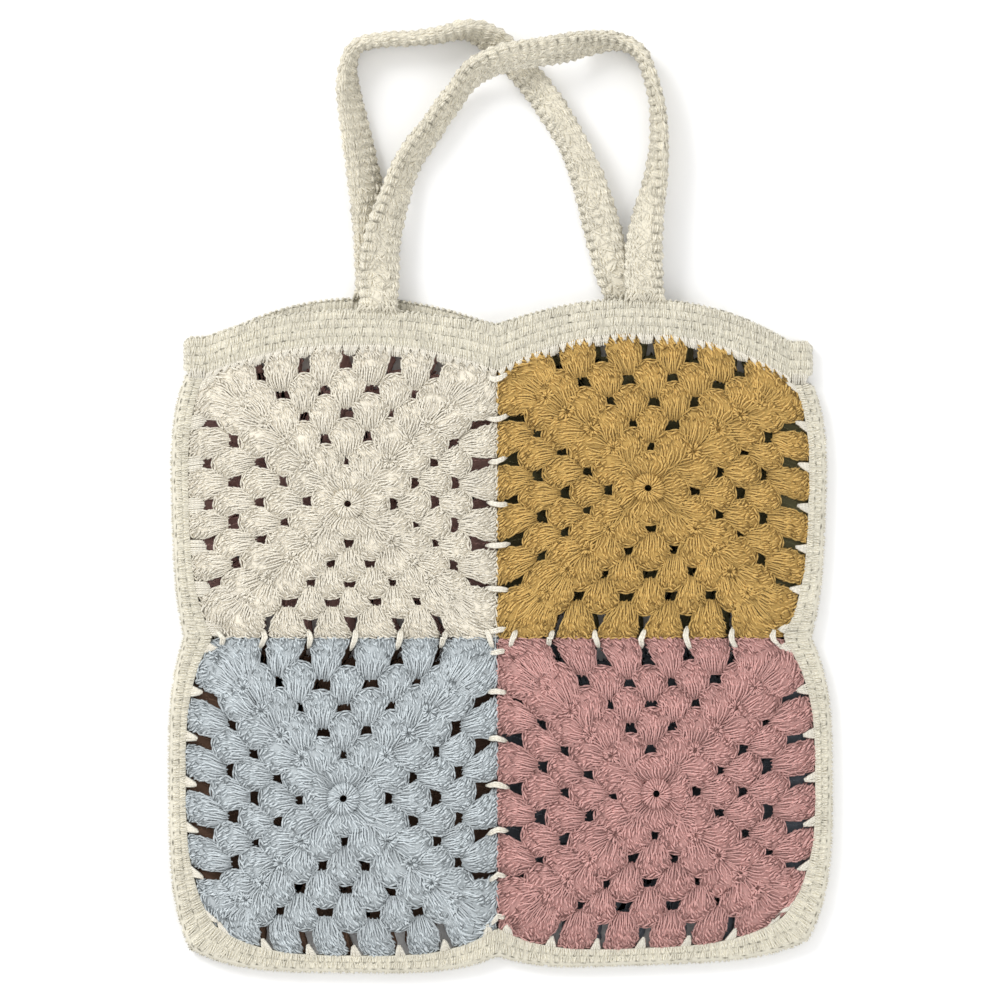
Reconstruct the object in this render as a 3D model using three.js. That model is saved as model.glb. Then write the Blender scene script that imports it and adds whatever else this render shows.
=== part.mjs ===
// A crocheted cotton tote bag of eight granny squares, lying on its back with its mouth towards +Y.
// Millimetres, +Z up. The origin is the middle of the bag's bounding box, on the surface it lies on.
import * as THREE from "three";

// The fabric
const squareSide = 160;
const fabricWall = 4.5;
const gapWidth = 7;
const seamClearance = 0.3;

// How far the flat bag stands open inside
const hollowHeight = 8;
const squareDome = 2.5;

// Widths of the edging that runs down both sides and along the bottom
const edgingAtMouth = 10.5;
const edgingBeside = 9.5;
const edgingAtJoint = 15.5;
const edgingAtCorner = 18.5;
const edgingRound = 2.8;

// The band round the mouth
const rimOverSquare = 18;
const rimAtJoint = 24;
const rimAtEnd = 19;
const rimCrown = 1;
const rimOverhang = 0.6;
const backRimRise = 6.3;

// The handles
const strapWidth = 20;
const strapThickness = 7.2;
const strapRound = 2.4;
const strapRest = 0.4;
const frontHandle = { leftFoot: -62.5, span: 140, rise: 136.5 };
const backHandle = { leftFoot: -65, span: 132, rise: 142 };

// Corners of the squares where they meet the edging and the rim, in shares of squareSide from the
// point where the four squares meet.
const corners = {
  mouth: { left: [-0.96, 0.865], middle: [0, 0.875], right: [0.965, 0.85] },
  waist: { left: [-0.935, 0], middle: [0, 0], right: [0.935, 0] },
  base: { left: [-0.93, -0.945], middle: [0, -0.952], right: [0.94, -0.915] },
};

// How far the outer sides of each square swell past a straight line between its corners, in shares of
// squareSide: sideSwell towards the side edging, endSwell towards the rim or the bottom edging.
const squares = [
  { column: "left", row: "mouth", sideSwell: 0.065, endSwell: 0.09, front: "cream", back: "rose" },
  { column: "right", row: "mouth", sideSwell: 0.07, endSwell: 0.132, front: "mustard", back: "olive" },
  { column: "left", row: "base", sideSwell: 0.09, endSwell: 0.095, front: "blue", back: "brown" },
  { column: "right", row: "base", sideSwell: 0.105, endSwell: 0.085, front: "pink", back: "slate" },
];

// How square the swellings are: low is an even arc, high is flat in the middle and round at the ends.
const swellPower = { mouth: 2.2, base: 3.4, side: 3.2 };
const edgingPower = 3;
const hollowPower = 6;

// Gaps between fans, in half sides from the middle of a square: the second round has one gap in the
// middle of each side, the fourth round has three.
const nearGap = 0.27;
const farGap = 0.585;
const outerLine = 0.82;

// The back of the rim stands above the front of it over the left part of the mouth, in shares of the
// half width of the mouth.
const backRise = { middle: -0.46, reach: 0.44 };

// Stations of the handles from left foot to right foot. across is in shares of the span and up in
// shares of the rise above the crest of the rim. The strap's lowest point lies over thickness and
// width shares of a strap above the surface. roll is in degrees, 0 flat and 90 standing on its edge,
// and width is the share of the strap's width that is left where it is drawn narrow.
const frontStations = [
  { across: 0.004, up: 0.09, thickness: 1.1, width: 0, roll: 4, share: 1.05 },
  { across: 0.015, up: 0.23, thickness: 1.1, width: 0, roll: 16, share: 1 },
  { across: 0.053, up: 0.37, thickness: 0.6, width: 0, roll: 40, share: 1 },
  { across: 0.113, up: 0.535, thickness: 0, width: 0, roll: 56, share: 1 },
  { across: 0.199, up: 0.66, thickness: 0, width: 0, roll: 62, share: 1 },
  { across: 0.278, up: 0.775, thickness: 0, width: 0.05, roll: 62, share: 0.95 },
  { across: 0.357, up: 0.87, thickness: 0.5, width: 0.15, roll: 52, share: 0.9 },
  { across: 0.462, up: 0.92, thickness: 1, width: 0.38, roll: 40, share: 0.85 },
  { across: 0.568, up: 0.94, thickness: 1, width: 0.38, roll: 34, share: 0.82 },
  { across: 0.68, up: 0.96, thickness: 0.9, width: 0.28, roll: 42, share: 0.85 },
  { across: 0.793, up: 0.985, thickness: 0.2, width: 0.05, roll: 62, share: 0.92 },
  { across: 0.891, up: 0.995, thickness: 0, width: 0, roll: 80, share: 1 },
  { across: 0.974, up: 0.96, thickness: 0, width: 0, roll: 88, share: 1 },
  { across: 1.019, up: 0.865, thickness: 0, width: 0, roll: 88, share: 1 },
  { across: 1.045, up: 0.75, thickness: 0, width: 0, roll: 84, share: 1 },
  { across: 1.053, up: 0.615, thickness: 0, width: 0, roll: 76, share: 1 },
  { across: 1.041, up: 0.48, thickness: 0, width: 0, roll: 66, share: 1 },
  { across: 1.015, up: 0.345, thickness: 0.3, width: 0, roll: 48, share: 1 },
  { across: 0.998, up: 0.23, thickness: 0.9, width: 0, roll: 24, share: 1 },
  { across: 0.996, up: 0.1, thickness: 1.15, width: 0, roll: 6, share: 1 },
];
const backStations = [
  { across: 0, up: 0.1, thickness: 0, width: 0, roll: 0, share: 1 },
  { across: -0.008, up: 0.24, thickness: 0, width: 0, roll: 12, share: 1 },
  { across: -0.024, up: 0.37, thickness: 0, width: 0, roll: 28, share: 1 },
  { across: -0.048, up: 0.5, thickness: 0, width: 0, roll: 40, share: 1 },
  { across: -0.075, up: 0.635, thickness: 0, width: 0, roll: 50, share: 1 },
  { across: -0.099, up: 0.76, thickness: 0, width: 0, roll: 62, share: 1 },
  { across: -0.103, up: 0.86, thickness: 0, width: 0, roll: 76, share: 1 },
  { across: -0.07, up: 0.935, thickness: 0, width: 0, roll: 88, share: 1 },
  { across: 0.016, up: 0.96, thickness: 0, width: 0, roll: 90, share: 1 },
  { across: 0.143, up: 0.967, thickness: 0, width: 0, roll: 90, share: 1 },
  { across: 0.262, up: 0.98, thickness: 0, width: 0, roll: 86, share: 1 },
  { across: 0.373, up: 1, thickness: 0, width: 0, roll: 74, share: 0.95 },
  { across: 0.476, up: 0.96, thickness: 0, width: 0, roll: 40, share: 0.86 },
  { across: 0.563, up: 0.88, thickness: 0, width: 0, roll: 22, share: 0.8 },
  { across: 0.643, up: 0.795, thickness: 0, width: 0, roll: 24, share: 0.8 },
  { across: 0.722, up: 0.69, thickness: 0, width: 0, roll: 38, share: 0.9 },
  { across: 0.786, up: 0.59, thickness: 0, width: 0, roll: 50, share: 1 },
  { across: 0.841, up: 0.474, thickness: 0, width: 0, roll: 42, share: 1 },
  { across: 0.885, up: 0.35, thickness: 0, width: 0, roll: 28, share: 1 },
  { across: 0.921, up: 0.222, thickness: 0, width: 0, roll: 12, share: 1 },
  { across: 0.96, up: 0.1, thickness: 0, width: 0, roll: 2, share: 1 },
];
const stepsPerStation = 2;

const colours = {
  cream: 0xe3decb,
  mustard: 0xc0984a,
  blue: 0xb6c0c7,
  pink: 0xc08f8d,
  rose: 0xa9787c,
  olive: 0x6d6a4c,
  brown: 0x5f4a3d,
  slate: 0x646d7a,
};

// A straight mix of two pairs or triples of numbers.
function mix(from, to, share) {
  return from.map((value, axis) => value + (to[axis] - value) * share);
}

// 1 in the middle of a side and 0 at its ends.
function swell(share, power) {
  return 1 - Math.abs(2 * share - 1) ** power;
}

// The place in plan of a point of a square. outward goes from the middle joint to the side edging and
// away goes from the waist to the rim or to the bottom edging, both from 0 to 1.
function squarePlan(square, outward, away) {
  const { column, row, sideSwell, endSwell } = square;
  const sideSign = column === "left" ? -1 : 1;
  const endSign = row === "mouth" ? 1 : -1;
  const seam = seamClearance / 2 / squareSide;
  const centre = [sideSign * seam, endSign * seam];
  const waist = [corners.waist[column][0], endSign * seam];
  const joint = [sideSign * seam, corners[row].middle[1]];
  const corner = corners[row][column];
  const sideEdge = mix(waist, corner, away);
  sideEdge[0] += sideSign * sideSwell * swell(away, swellPower.side);
  const endEdge = mix(joint, corner, outward);
  endEdge[1] += endSign * endSwell * swell(outward, swellPower[row]);
  const across = mix(mix(centre, joint, away), sideEdge, outward);
  const along = mix(mix(centre, waist, outward), endEdge, away);
  const flat = mix(mix(centre, waist, outward), mix(joint, corner, outward), away);
  return flat.map((value, axis) => (across[axis] + along[axis] - value) * squareSide);
}

// Height of the underside of the front of the bag.
function frontUnderside(square, outward, away) {
  const atBottom = square.row === "base" ? 1 - away ** hollowPower : 1;
  const hollow = hollowHeight * (1 - outward ** hollowPower) * atBottom;
  const dome = squareDome * (1 - (2 * outward - 1) ** 2) * (1 - (2 * away - 1) ** 2);
  return fabricWall + seamClearance + hollow + dome;
}

const gapHalf = gapWidth / squareSide;
const gapCentres = [-farGap, -nearGap, 0, nearGap, farGap];
const gridLines = [
  -1,
  -outerLine,
  ...gapCentres.flatMap((centre) => [centre - gapHalf, centre + gapHalf]),
  outerLine,
  1,
];
const shareLines = gridLines.map((line) => (line + 1) / 2);

function isGap(centreX, centreY) {
  const near = (value, wanted) => Math.abs(Math.abs(value) - wanted) < gapHalf / 2;
  const inner = (value) => near(value, 0) || near(value, nearGap);
  const onFourth = (near(centreX, farGap) && inner(centreY)) || (near(centreY, farGap) && inner(centreX));
  const onSecond = (near(centreX, nearGap) && near(centreY, 0)) || (near(centreY, nearGap) && near(centreX, 0));
  return onFourth || onSecond;
}

// Grid shares run towards +X and +Y; a square's own shares run away from the middle of the bag.
function ownShares(square, shareX, shareY) {
  const outward = square.column === "left" ? 1 - shareX : shareX;
  const away = square.row === "mouth" ? shareY : 1 - shareY;
  return [outward, away];
}

function bodyFrom(positions, triangles) {
  const geometry = new THREE.BufferGeometry();
  geometry.setAttribute("position", new THREE.Float32BufferAttribute(positions.flat(), 3));
  geometry.setIndex(triangles.flat());
  geometry.computeVertexNormals();
  return geometry;
}

// A pierced wall on the square's grid; heights gives its underside and its upper side.
function squareBody(square, heights) {
  const count = gridLines.length;
  const positions = [];
  shareLines.forEach((shareY) => {
    shareLines.forEach((shareX) => {
      const [outward, away] = ownShares(square, shareX, shareY);
      const [x, y] = squarePlan(square, outward, away);
      const [low, high] = heights(outward, away);
      positions.push([x, y, low], [x, y, high]);
    });
  });
  const low = (i, j) => 2 * (j * count + i);
  const high = (i, j) => low(i, j) + 1;
  const middle = (k) => (gridLines[k] + gridLines[k + 1]) / 2;
  const solid = (i, j) => {
    const inside = i >= 0 && j >= 0 && i < count - 1 && j < count - 1;
    return inside && !isGap(middle(i), middle(j));
  };
  const triangles = [];
  const wall = (i, j, k, l) => {
    triangles.push([low(i, j), low(k, l), high(k, l)], [low(i, j), high(k, l), high(i, j)]);
  };
  for (let j = 0; j < count - 1; j += 1) {
    for (let i = 0; i < count - 1; i += 1) {
      if (!solid(i, j)) continue;
      triangles.push([high(i, j), high(i + 1, j), high(i + 1, j + 1)]);
      triangles.push([high(i, j), high(i + 1, j + 1), high(i, j + 1)]);
      triangles.push([low(i, j), low(i + 1, j + 1), low(i + 1, j)]);
      triangles.push([low(i, j), low(i, j + 1), low(i + 1, j + 1)]);
      if (!solid(i, j - 1)) wall(i, j, i + 1, j);
      if (!solid(i + 1, j)) wall(i + 1, j, i + 1, j + 1);
      if (!solid(i, j + 1)) wall(i + 1, j + 1, i, j + 1);
      if (!solid(i - 1, j)) wall(i, j + 1, i, j);
    }
  }
  return bodyFrom(positions, triangles);
}

// A body through like sections, each a list of points; it runs round or is capped at both ends.
function loftBody(sections, runsRound) {
  const size = sections[0].length;
  const positions = sections.flat();
  const triangles = [];
  const spans = runsRound ? sections.length : sections.length - 1;
  for (let s = 0; s < spans; s += 1) {
    const here = s * size;
    const next = ((s + 1) % sections.length) * size;
    for (let p = 0; p < size; p += 1) {
      const q = (p + 1) % size;
      triangles.push([here + p, here + q, next + q], [here + p, next + q, next + p]);
    }
  }
  if (!runsRound) {
    const last = (sections.length - 1) * size;
    for (let p = 1; p < size - 1; p += 1) {
      triangles.push([0, p + 1, p], [last, last + p, last + p + 1]);
    }
  }
  return bodyFrom(positions, triangles);
}

const frontTop = 2 * fabricWall + seamClearance;

// A value that is the middle one along most of a side and changes to the others at its ends.
function alongSide([atStart, between, atEnd], share) {
  const start = Math.max(0, 1 - 2 * share) ** edgingPower;
  const end = Math.max(0, 2 * share - 1) ** edgingPower;
  return between + (atStart - between) * start + (atEnd - between) * end;
}

// Walks one outer side of a square away from its first corner, leaving the last corner out. widths and
// angles are those at the first corner, between, and at the last corner.
function sideWalk(square, onSide, backwards, widths, angles) {
  return shareLines.slice(0, -1).map((share) => {
    const own = backwards ? 1 - share : share;
    const [x, y] = onSide ? squarePlan(square, 1, own) : squarePlan(square, own, 1);
    return { x, y, width: alongSide(widths, share), angle: alongSide(angles, share) };
  });
}

// The edging goes down the left side, along the bottom and up the right side. angle is the way it
// reaches outwards, in degrees from +X.
function edgingWalk() {
  const [topLeft, topRight, lowLeft, lowRight] = squares;
  const fromMouth = [edgingAtMouth, edgingBeside, edgingAtJoint];
  const fromCorner = [edgingAtCorner, edgingBeside, edgingAtJoint];
  const toMouth = fromMouth.toReversed();
  const toCorner = fromCorner.toReversed();
  const [x, y] = squarePlan(topRight, 1, 1);
  return [
    ...sideWalk(topLeft, true, true, fromMouth, [180, 180, 180]),
    ...sideWalk(lowLeft, true, false, toCorner, [180, 180, 225]),
    ...sideWalk(lowLeft, false, true, fromCorner, [225, 270, 270]),
    ...sideWalk(lowRight, false, false, toCorner, [270, 270, 315]),
    ...sideWalk(lowRight, true, true, fromCorner, [315, 360, 360]),
    ...sideWalk(topRight, true, false, toMouth, [360, 360, 360]),
    { x, y, width: edgingAtMouth, angle: 360 },
  ];
}

function edgingBody() {
  const round = Math.min(edgingRound, frontTop / 3);
  const sections = edgingWalk().map(({ x, y, width, angle }) => {
    const radians = THREE.MathUtils.degToRad(angle);
    const at = (reach, z) => {
      const out = seamClearance + reach;
      return [x + out * Math.cos(radians), y + out * Math.sin(radians), z];
    };
    return [
      at(0, 0),
      at(0, frontTop),
      at(width - round, frontTop),
      at(width, frontTop - round),
      at(width, round),
      at(width - round, 0),
    ];
  });
  return loftBody(sections, false);
}

// Points along the squares' edge at the mouth from left to right: x, y, the width of the rim there, and
// the height at which the underside of the front lies.
function mouthLine() {
  const [topLeft, topRight] = squares;
  const points = [];
  [topLeft, topRight].forEach((square) => {
    shareLines.forEach((share) => {
      const outward = square === topLeft ? 1 - share : share;
      const [x, y] = squarePlan(square, outward, 1);
      if (outward === 0 && square === topRight) return;
      const height = alongSide([rimAtJoint, rimOverSquare, rimAtEnd], outward);
      points.push({ x, y, height, under: frontUnderside(square, outward, 1) });
    });
  });
  return points;
}

const mouth = mouthLine();
const mouthHalf = (mouth[mouth.length - 1].x - mouth[0].x) / 2;
const mouthMiddle = (mouth[mouth.length - 1].x + mouth[0].x) / 2;

// The Y of the rim's upper edge, on its front or its back, over a point of the mouth.
function rimEdge(point, isBack) {
  const share = (point.x - mouthMiddle) / mouthHalf;
  const near = Math.max(0, 1 - ((share - backRise.middle) / backRise.reach) ** 2);
  const rise = isBack ? backRimRise * near : 0;
  return point.y + seamClearance + point.height + rise;
}

// One section across the rim: its inner and outer side, and the upper edge with a low crown.
function rimSection(inner, outer, low, high) {
  const crown = [(inner[0] + outer[0]) / 2, (inner[1] + outer[1]) / 2];
  return [
    [inner[0], low, inner[1]],
    [outer[0], low, outer[1]],
    [outer[0], high, outer[1]],
    [crown[0], high + rimCrown, crown[1]],
    [inner[0], high, inner[1]],
  ];
}

// The fold at one end of the mouth, where the back of the rim turns into its front.
function rimEnd(point, sign) {
  const reach = point.x + sign * (edgingAtMouth + seamClearance + rimOverhang);
  const slot = fabricWall + seamClearance / 2;
  const low = point.y + seamClearance;
  const high = rimEdge(point, false);
  const slotEnd = point.x + sign * seamClearance;
  const foldEnd = slotEnd + sign * seamClearance;
  const rows = [
    { inX: slotEnd, inZ: fabricWall, outX: reach - sign * edgingRound, outZ: 0 },
    { inX: foldEnd, inZ: slot - seamClearance / 6, outX: reach, outZ: frontTop / 3 },
    { inX: foldEnd, inZ: slot + seamClearance / 6, outX: reach, outZ: (frontTop * 2) / 3 },
    { inX: slotEnd, inZ: fabricWall + seamClearance, outX: reach - sign * edgingRound, outZ: frontTop },
  ];
  return rows.map(({ inX, inZ, outX, outZ }) => rimSection([inX, inZ], [outX, outZ], low, high));
}

function rimBody() {
  const back = mouth.map((point) => {
    const low = point.y + seamClearance;
    return rimSection([point.x, fabricWall], [point.x, 0], low, rimEdge(point, true));
  });
  const front = mouth.map((point) => {
    const low = point.y + seamClearance;
    const outer = [point.x, point.under + fabricWall];
    return rimSection([point.x, point.under], outer, low, rimEdge(point, false));
  });
  const rightEnd = rimEnd(mouth[mouth.length - 1], 1);
  const leftEnd = rimEnd(mouth[0], -1).reverse();
  return loftBody([...back, ...rightEnd, ...front.reverse(), ...leftEnd], true);
}

// Upper edge of the rim at any x, along the straight stretches between its points.
function rimTopAt(x, isBack) {
  const next = Math.max(1, mouth.findIndex((point) => point.x > x));
  const [from, to] = [mouth[next - 1], mouth[next]];
  const share = (x - from.x) / (to.x - from.x);
  const edge = THREE.MathUtils.lerp(rimEdge(from, isBack), rimEdge(to, isBack), share);
  return { edge: edge + rimCrown, under: THREE.MathUtils.lerp(from.under, to.under, share) };
}

// The line on which a strap's foot stands: straight under the foot and clear of the rim's upper edge.
function footLine(fromX, toX, isBack) {
  const start = rimTopAt(fromX, isBack).edge;
  const slope = (rimTopAt(toX, isBack).edge - start) / (toX - fromX);
  const straight = (x) => start + slope * (x - fromX);
  const between = mouth.filter((point) => point.x > fromX && point.x < toX);
  const proud = between.map((point) => rimTopAt(point.x, isBack).edge - straight(point.x));
  const lift = seamClearance + Math.max(0, ...proud);
  return (x) => straight(x) + lift;
}

const rimCrest = Math.max(...mouth.map((point) => rimEdge(point, false)));

function standingHeight(roll, share) {
  const radians = THREE.MathUtils.degToRad(roll);
  return strapWidth * share * Math.sin(radians) + strapThickness * Math.cos(radians);
}

// A handle's own path: the middle of the strap with its roll and width, foot to foot.
function handlePath(handle, stations, isBack) {
  const rows = stations.map(({ across, up, thickness, width, roll, share }) => {
    const base = strapRest + thickness * strapThickness + width * strapWidth;
    return {
      x: handle.leftFoot + across * handle.span,
      y: rimCrest + up * handle.rise,
      z: base + standingHeight(roll, share) / 2,
      roll,
      share,
    };
  });
  const foot = (x) => {
    const { edge, under } = rimTopAt(x, isBack);
    const z = isBack ? strapRest + strapThickness / 2 : under + fabricWall / 2;
    return { x, y: edge + seamClearance, z, roll: 0, share: 1 };
  };
  return [foot(handle.leftFoot), ...rows, foot(handle.leftFoot + handle.span)];
}

function strapOutline(share) {
  const side = (strapWidth * share) / 2;
  const face = strapThickness / 2;
  return [
    [side, face - strapRound],
    [side - strapRound, face],
    [-side + strapRound, face],
    [-side, face - strapRound],
    [-side, -face + strapRound],
    [-side + strapRound, -face],
    [side - strapRound, -face],
    [side, -face + strapRound],
  ];
}

function handleBody(handle, stations, isBack) {
  const rows = handlePath(handle, stations, isBack);
  const middle = new THREE.CatmullRomCurve3(rows.map(({ x, y, z }) => new THREE.Vector3(x, y, z)));
  const twist = new THREE.CatmullRomCurve3(rows.map(({ roll, share }) => new THREE.Vector3(roll, share, 0)));
  const steps = (rows.length - 1) * stepsPerStation;
  const sections = [];
  for (let step = 0; step <= steps; step += 1) {
    const share = step / steps;
    const centre = middle.getPoint(share);
    const { x: roll, y: width } = twist.getPoint(share);
    const ahead = middle.getTangent(share);
    const outward = new THREE.Vector3(0, 0, 1).cross(ahead).normalize();
    const upward = ahead.clone().cross(outward);
    const radians = THREE.MathUtils.degToRad(roll);
    const across = outward.clone().multiplyScalar(Math.cos(radians)).addScaledVector(upward, Math.sin(radians));
    const facing = ahead.clone().cross(across);
    const points = strapOutline(width).map(([side, face]) => {
      return centre.clone().addScaledVector(across, side).addScaledVector(facing, face);
    });
    if (step === 0 || step === steps) {
      const half = strapWidth / 2;
      const line = footLine(centre.x - half, centre.x + half, isBack);
      points.forEach((point) => point.setY(line(point.x)));
    }
    sections.push(points.map((point) => point.toArray()));
  }
  return loftBody(sections, false);
}

function cottonMesh(name, geometry, colour) {
  const material = new THREE.MeshStandardMaterial({ color: colours[colour], roughness: 0.9, metalness: 0 });
  const mesh = new THREE.Mesh(geometry, material);
  mesh.name = name;
  return mesh;
}

const bag = new THREE.Group();
squares.forEach((square) => {
  const frontHeights = (outward, away) => {
    const under = frontUnderside(square, outward, away);
    return [under, under + fabricWall];
  };
  const backHeights = () => [0, fabricWall];
  bag.add(cottonMesh(`front_square_${square.front}`, squareBody(square, frontHeights), square.front));
  bag.add(cottonMesh(`back_square_${square.back}`, squareBody(square, backHeights), square.back));
});
bag.add(cottonMesh("side_edging", edgingBody(), "cream"));
bag.add(cottonMesh("rim_band", rimBody(), "cream"));
bag.add(cottonMesh("front_handle", handleBody(frontHandle, frontStations, false), "cream"));
bag.add(cottonMesh("back_handle", handleBody(backHandle, backStations, true), "cream"));

const bounds = new THREE.Box3().setFromObject(bag);
const centre = bounds.getCenter(new THREE.Vector3());
bag.position.set(-centre.x, -centre.y, -bounds.min.z);

export default bag;
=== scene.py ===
"""Dresses a packed crochet bag: plied cotton stitches over its solids, and a plain stage."""
import math

import bpy
import numpy as np
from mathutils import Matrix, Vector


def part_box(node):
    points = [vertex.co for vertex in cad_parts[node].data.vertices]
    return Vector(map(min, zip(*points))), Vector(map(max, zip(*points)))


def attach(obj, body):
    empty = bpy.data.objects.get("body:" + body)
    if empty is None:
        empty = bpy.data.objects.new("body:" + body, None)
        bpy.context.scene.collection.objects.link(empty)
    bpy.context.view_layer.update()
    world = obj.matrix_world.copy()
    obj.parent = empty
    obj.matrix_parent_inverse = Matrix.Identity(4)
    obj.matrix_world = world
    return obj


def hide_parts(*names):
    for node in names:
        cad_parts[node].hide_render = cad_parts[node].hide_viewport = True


bl_info = {
    "name": "Granny square tote bag",
    "version": (1, 0, 0),
    "blender": (4, 5, 0),
    "location": "3D View > Sidebar > Crochet Bag",
    "description": "Works plied cotton yarn over the plain solids of a crocheted tote bag",
    "category": "Add Mesh",
}

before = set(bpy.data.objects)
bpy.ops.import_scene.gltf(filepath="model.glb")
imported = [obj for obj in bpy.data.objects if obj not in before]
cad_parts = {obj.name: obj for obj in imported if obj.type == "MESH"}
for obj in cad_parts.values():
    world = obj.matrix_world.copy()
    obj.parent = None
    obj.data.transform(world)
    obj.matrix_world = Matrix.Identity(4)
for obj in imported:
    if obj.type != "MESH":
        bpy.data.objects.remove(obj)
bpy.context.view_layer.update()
MM = 0.001

# The fabric, as the solids have it, in millimetres
SQUARE_SIDE = 160
HALF_SIDE = SQUARE_SIDE / 2
FABRIC_WALL = 4.5
SEAM_CLEARANCE = 0.3
HOLLOW_HEIGHT = 8
SQUARE_DOME = 2.5
FRONT_TOP = 2 * FABRIC_WALL + SEAM_CLEARANCE

# Corners of the squares in shares of their side from the point where the four squares meet
CORNERS = {
    "mouth": {"left": (-0.96, 0.865), "middle": (0, 0.875), "right": (0.965, 0.85)},
    "waist": {"left": (-0.935, 0), "middle": (0, 0), "right": (0.935, 0)},
    "base": {"left": (-0.93, -0.945), "middle": (0, -0.952), "right": (0.94, -0.915)},
}
SWELL_POWER = {"mouth": 2.2, "base": 3.4, "side": 3.2}
HOLLOW_POWER = 6

# Each square: its column and row, how far its outer sides swell in shares of its side, its front and back
# colours, how far its middle is drawn off in millimetres, and how full its fans are
SQUARES = (
    {"column": "left", "row": "mouth", "side": 0.065, "end": 0.09, "front": "cream", "back": "rose",
     "drift": (3.7, -6.3), "full": 1.01},
    {"column": "right", "row": "mouth", "side": 0.07, "end": 0.132, "front": "mustard", "back": "olive",
     "drift": (-0.5, -1.2), "full": 1.03},
    {"column": "left", "row": "base", "side": 0.09, "end": 0.095, "front": "blue", "back": "brown",
     "drift": (2.2, -1), "full": 1.0},
    {"column": "right", "row": "base", "side": 0.105, "end": 0.085, "front": "pink", "back": "slate",
     "drift": (-1.5, 0), "full": 1.06},
)

# The rounds of a granny square, in shares of half its side from its middle
ROUNDS = 6
RING = 0.062
ROUND_DEPTH = 0.148
CORNER_PULL = 0.93
OUTER_SPREAD = 1.08

# How far the middle of a back square lies off that of its front one, in millimetres
BACK_SLIDE = (3, 11)

# Sides of a tube of yarn: three are enough for yarn this thin, with smooth shading
YARN_SIDES = 3

# Numbers that start the random draws of each piece; a square's own is its place in SQUARES
BACK_SEED = 20
EDGING_SEED = 50
RIM_SEED = 51
SEWING_SEED = 60
WANDER_SEED = 100

UPWARDS = (0, 0, 1)
DOWNWARDS = (0, 0, -1)


def linear(hex_colour):
    """A linear RGB triple from an sRGB hex colour."""
    channels = [int(hex_colour[k:k + 2], 16) / 255 for k in (0, 2, 4)]
    return tuple(c / 12.92 if c <= 0.04045 else ((c + 0.055) / 1.055) ** 2.4 for c in channels)


def mix(start, end, share):
    """The value that lies at a share of the way from start to end."""
    return start + (end - start) * share


def unit(vectors):
    """Vectors scaled to a length of 1."""
    return vectors / np.maximum(np.linalg.norm(vectors, axis=-1, keepdims=True), 1e-9)


def squared_off(value, power):
    """A sine or cosine raised to a power with its sign kept, which squares off a round section."""
    return np.sign(value) * np.abs(value) ** power


def evenly(count, reach=1.0):
    """Places spaced evenly from -reach to reach, the outer ones half a space inside."""
    return ((np.arange(count) + 0.5) / count * 2 - 1) * reach


def distances(points):
    """How far along a line of points each of them lies."""
    return np.concatenate([[0], np.cumsum(np.linalg.norm(np.diff(points, axis=0), axis=1))])


def spokes(angle, reach, lift):
    """Points at angles and distances from a middle, with their heights."""
    x, y = np.cos(angle) * reach, np.sin(angle) * reach
    return np.stack([x, y, np.broadcast_to(lift, x.shape)], axis=-1)


def swell(share, power):
    """1 in the middle of a side and 0 at its ends."""
    return 1 - np.abs(2 * share - 1) ** power


def meeting_point():
    """Where the four squares meet in plan, in millimetres."""
    cream_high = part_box("front_square_cream")[1]
    mustard_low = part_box("front_square_mustard")[0]
    pink_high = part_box("front_square_pink")[1]
    across = (cream_high.x + mustard_low.x) / 2
    along = (mustard_low.y + pink_high.y) / 2
    return across / MM, along / MM


MEETING = meeting_point()


def square_plan(square, outward, away):
    """Place in plan of points of a square, in millimetres; outward and away run from its inner corner."""
    column, row = square["column"], square["row"]
    side_sign = -1 if column == "left" else 1
    end_sign = 1 if row == "mouth" else -1
    seam = SEAM_CLEARANCE / 2 / SQUARE_SIDE
    centre_x, centre_y = side_sign * seam, end_sign * seam
    waist_x = CORNERS["waist"][column][0]
    joint_y = CORNERS[row]["middle"][1]
    corner_x, corner_y = CORNERS[row][column]
    side_x = mix(waist_x, corner_x, away) + side_sign * square["side"] * swell(away, SWELL_POWER["side"])
    side_y = mix(centre_y, corner_y, away)
    end_x = mix(centre_x, corner_x, outward)
    end_y = mix(joint_y, corner_y, outward) + end_sign * square["end"] * swell(outward, SWELL_POWER[row])
    x = mix(centre_x, side_x, outward) + mix(mix(centre_x, waist_x, outward), end_x, away)
    x = x - mix(mix(centre_x, waist_x, outward), mix(centre_x, corner_x, outward), away)
    y = mix(mix(centre_y, joint_y, away), side_y, outward) + mix(centre_y, end_y, away)
    y = y - mix(centre_y, mix(joint_y, corner_y, outward), away)
    return MEETING[0] + x * SQUARE_SIDE, MEETING[1] + y * SQUARE_SIDE


def front_middle(square, outward, away):
    """Height of the middle of the front wall of the bag, in millimetres."""
    out = np.clip(outward, 0, 1)
    far = np.clip(away, 0, 1)
    at_bottom = 1 - far ** HOLLOW_POWER if square["row"] == "base" else 1
    hollow = HOLLOW_HEIGHT * (1 - out ** HOLLOW_POWER) * at_bottom
    dome = SQUARE_DOME * (1 - (2 * out - 1) ** 2) * (1 - (2 * far - 1) ** 2)
    return FABRIC_WALL * 1.5 + SEAM_CLEARANCE + hollow + dome


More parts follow.
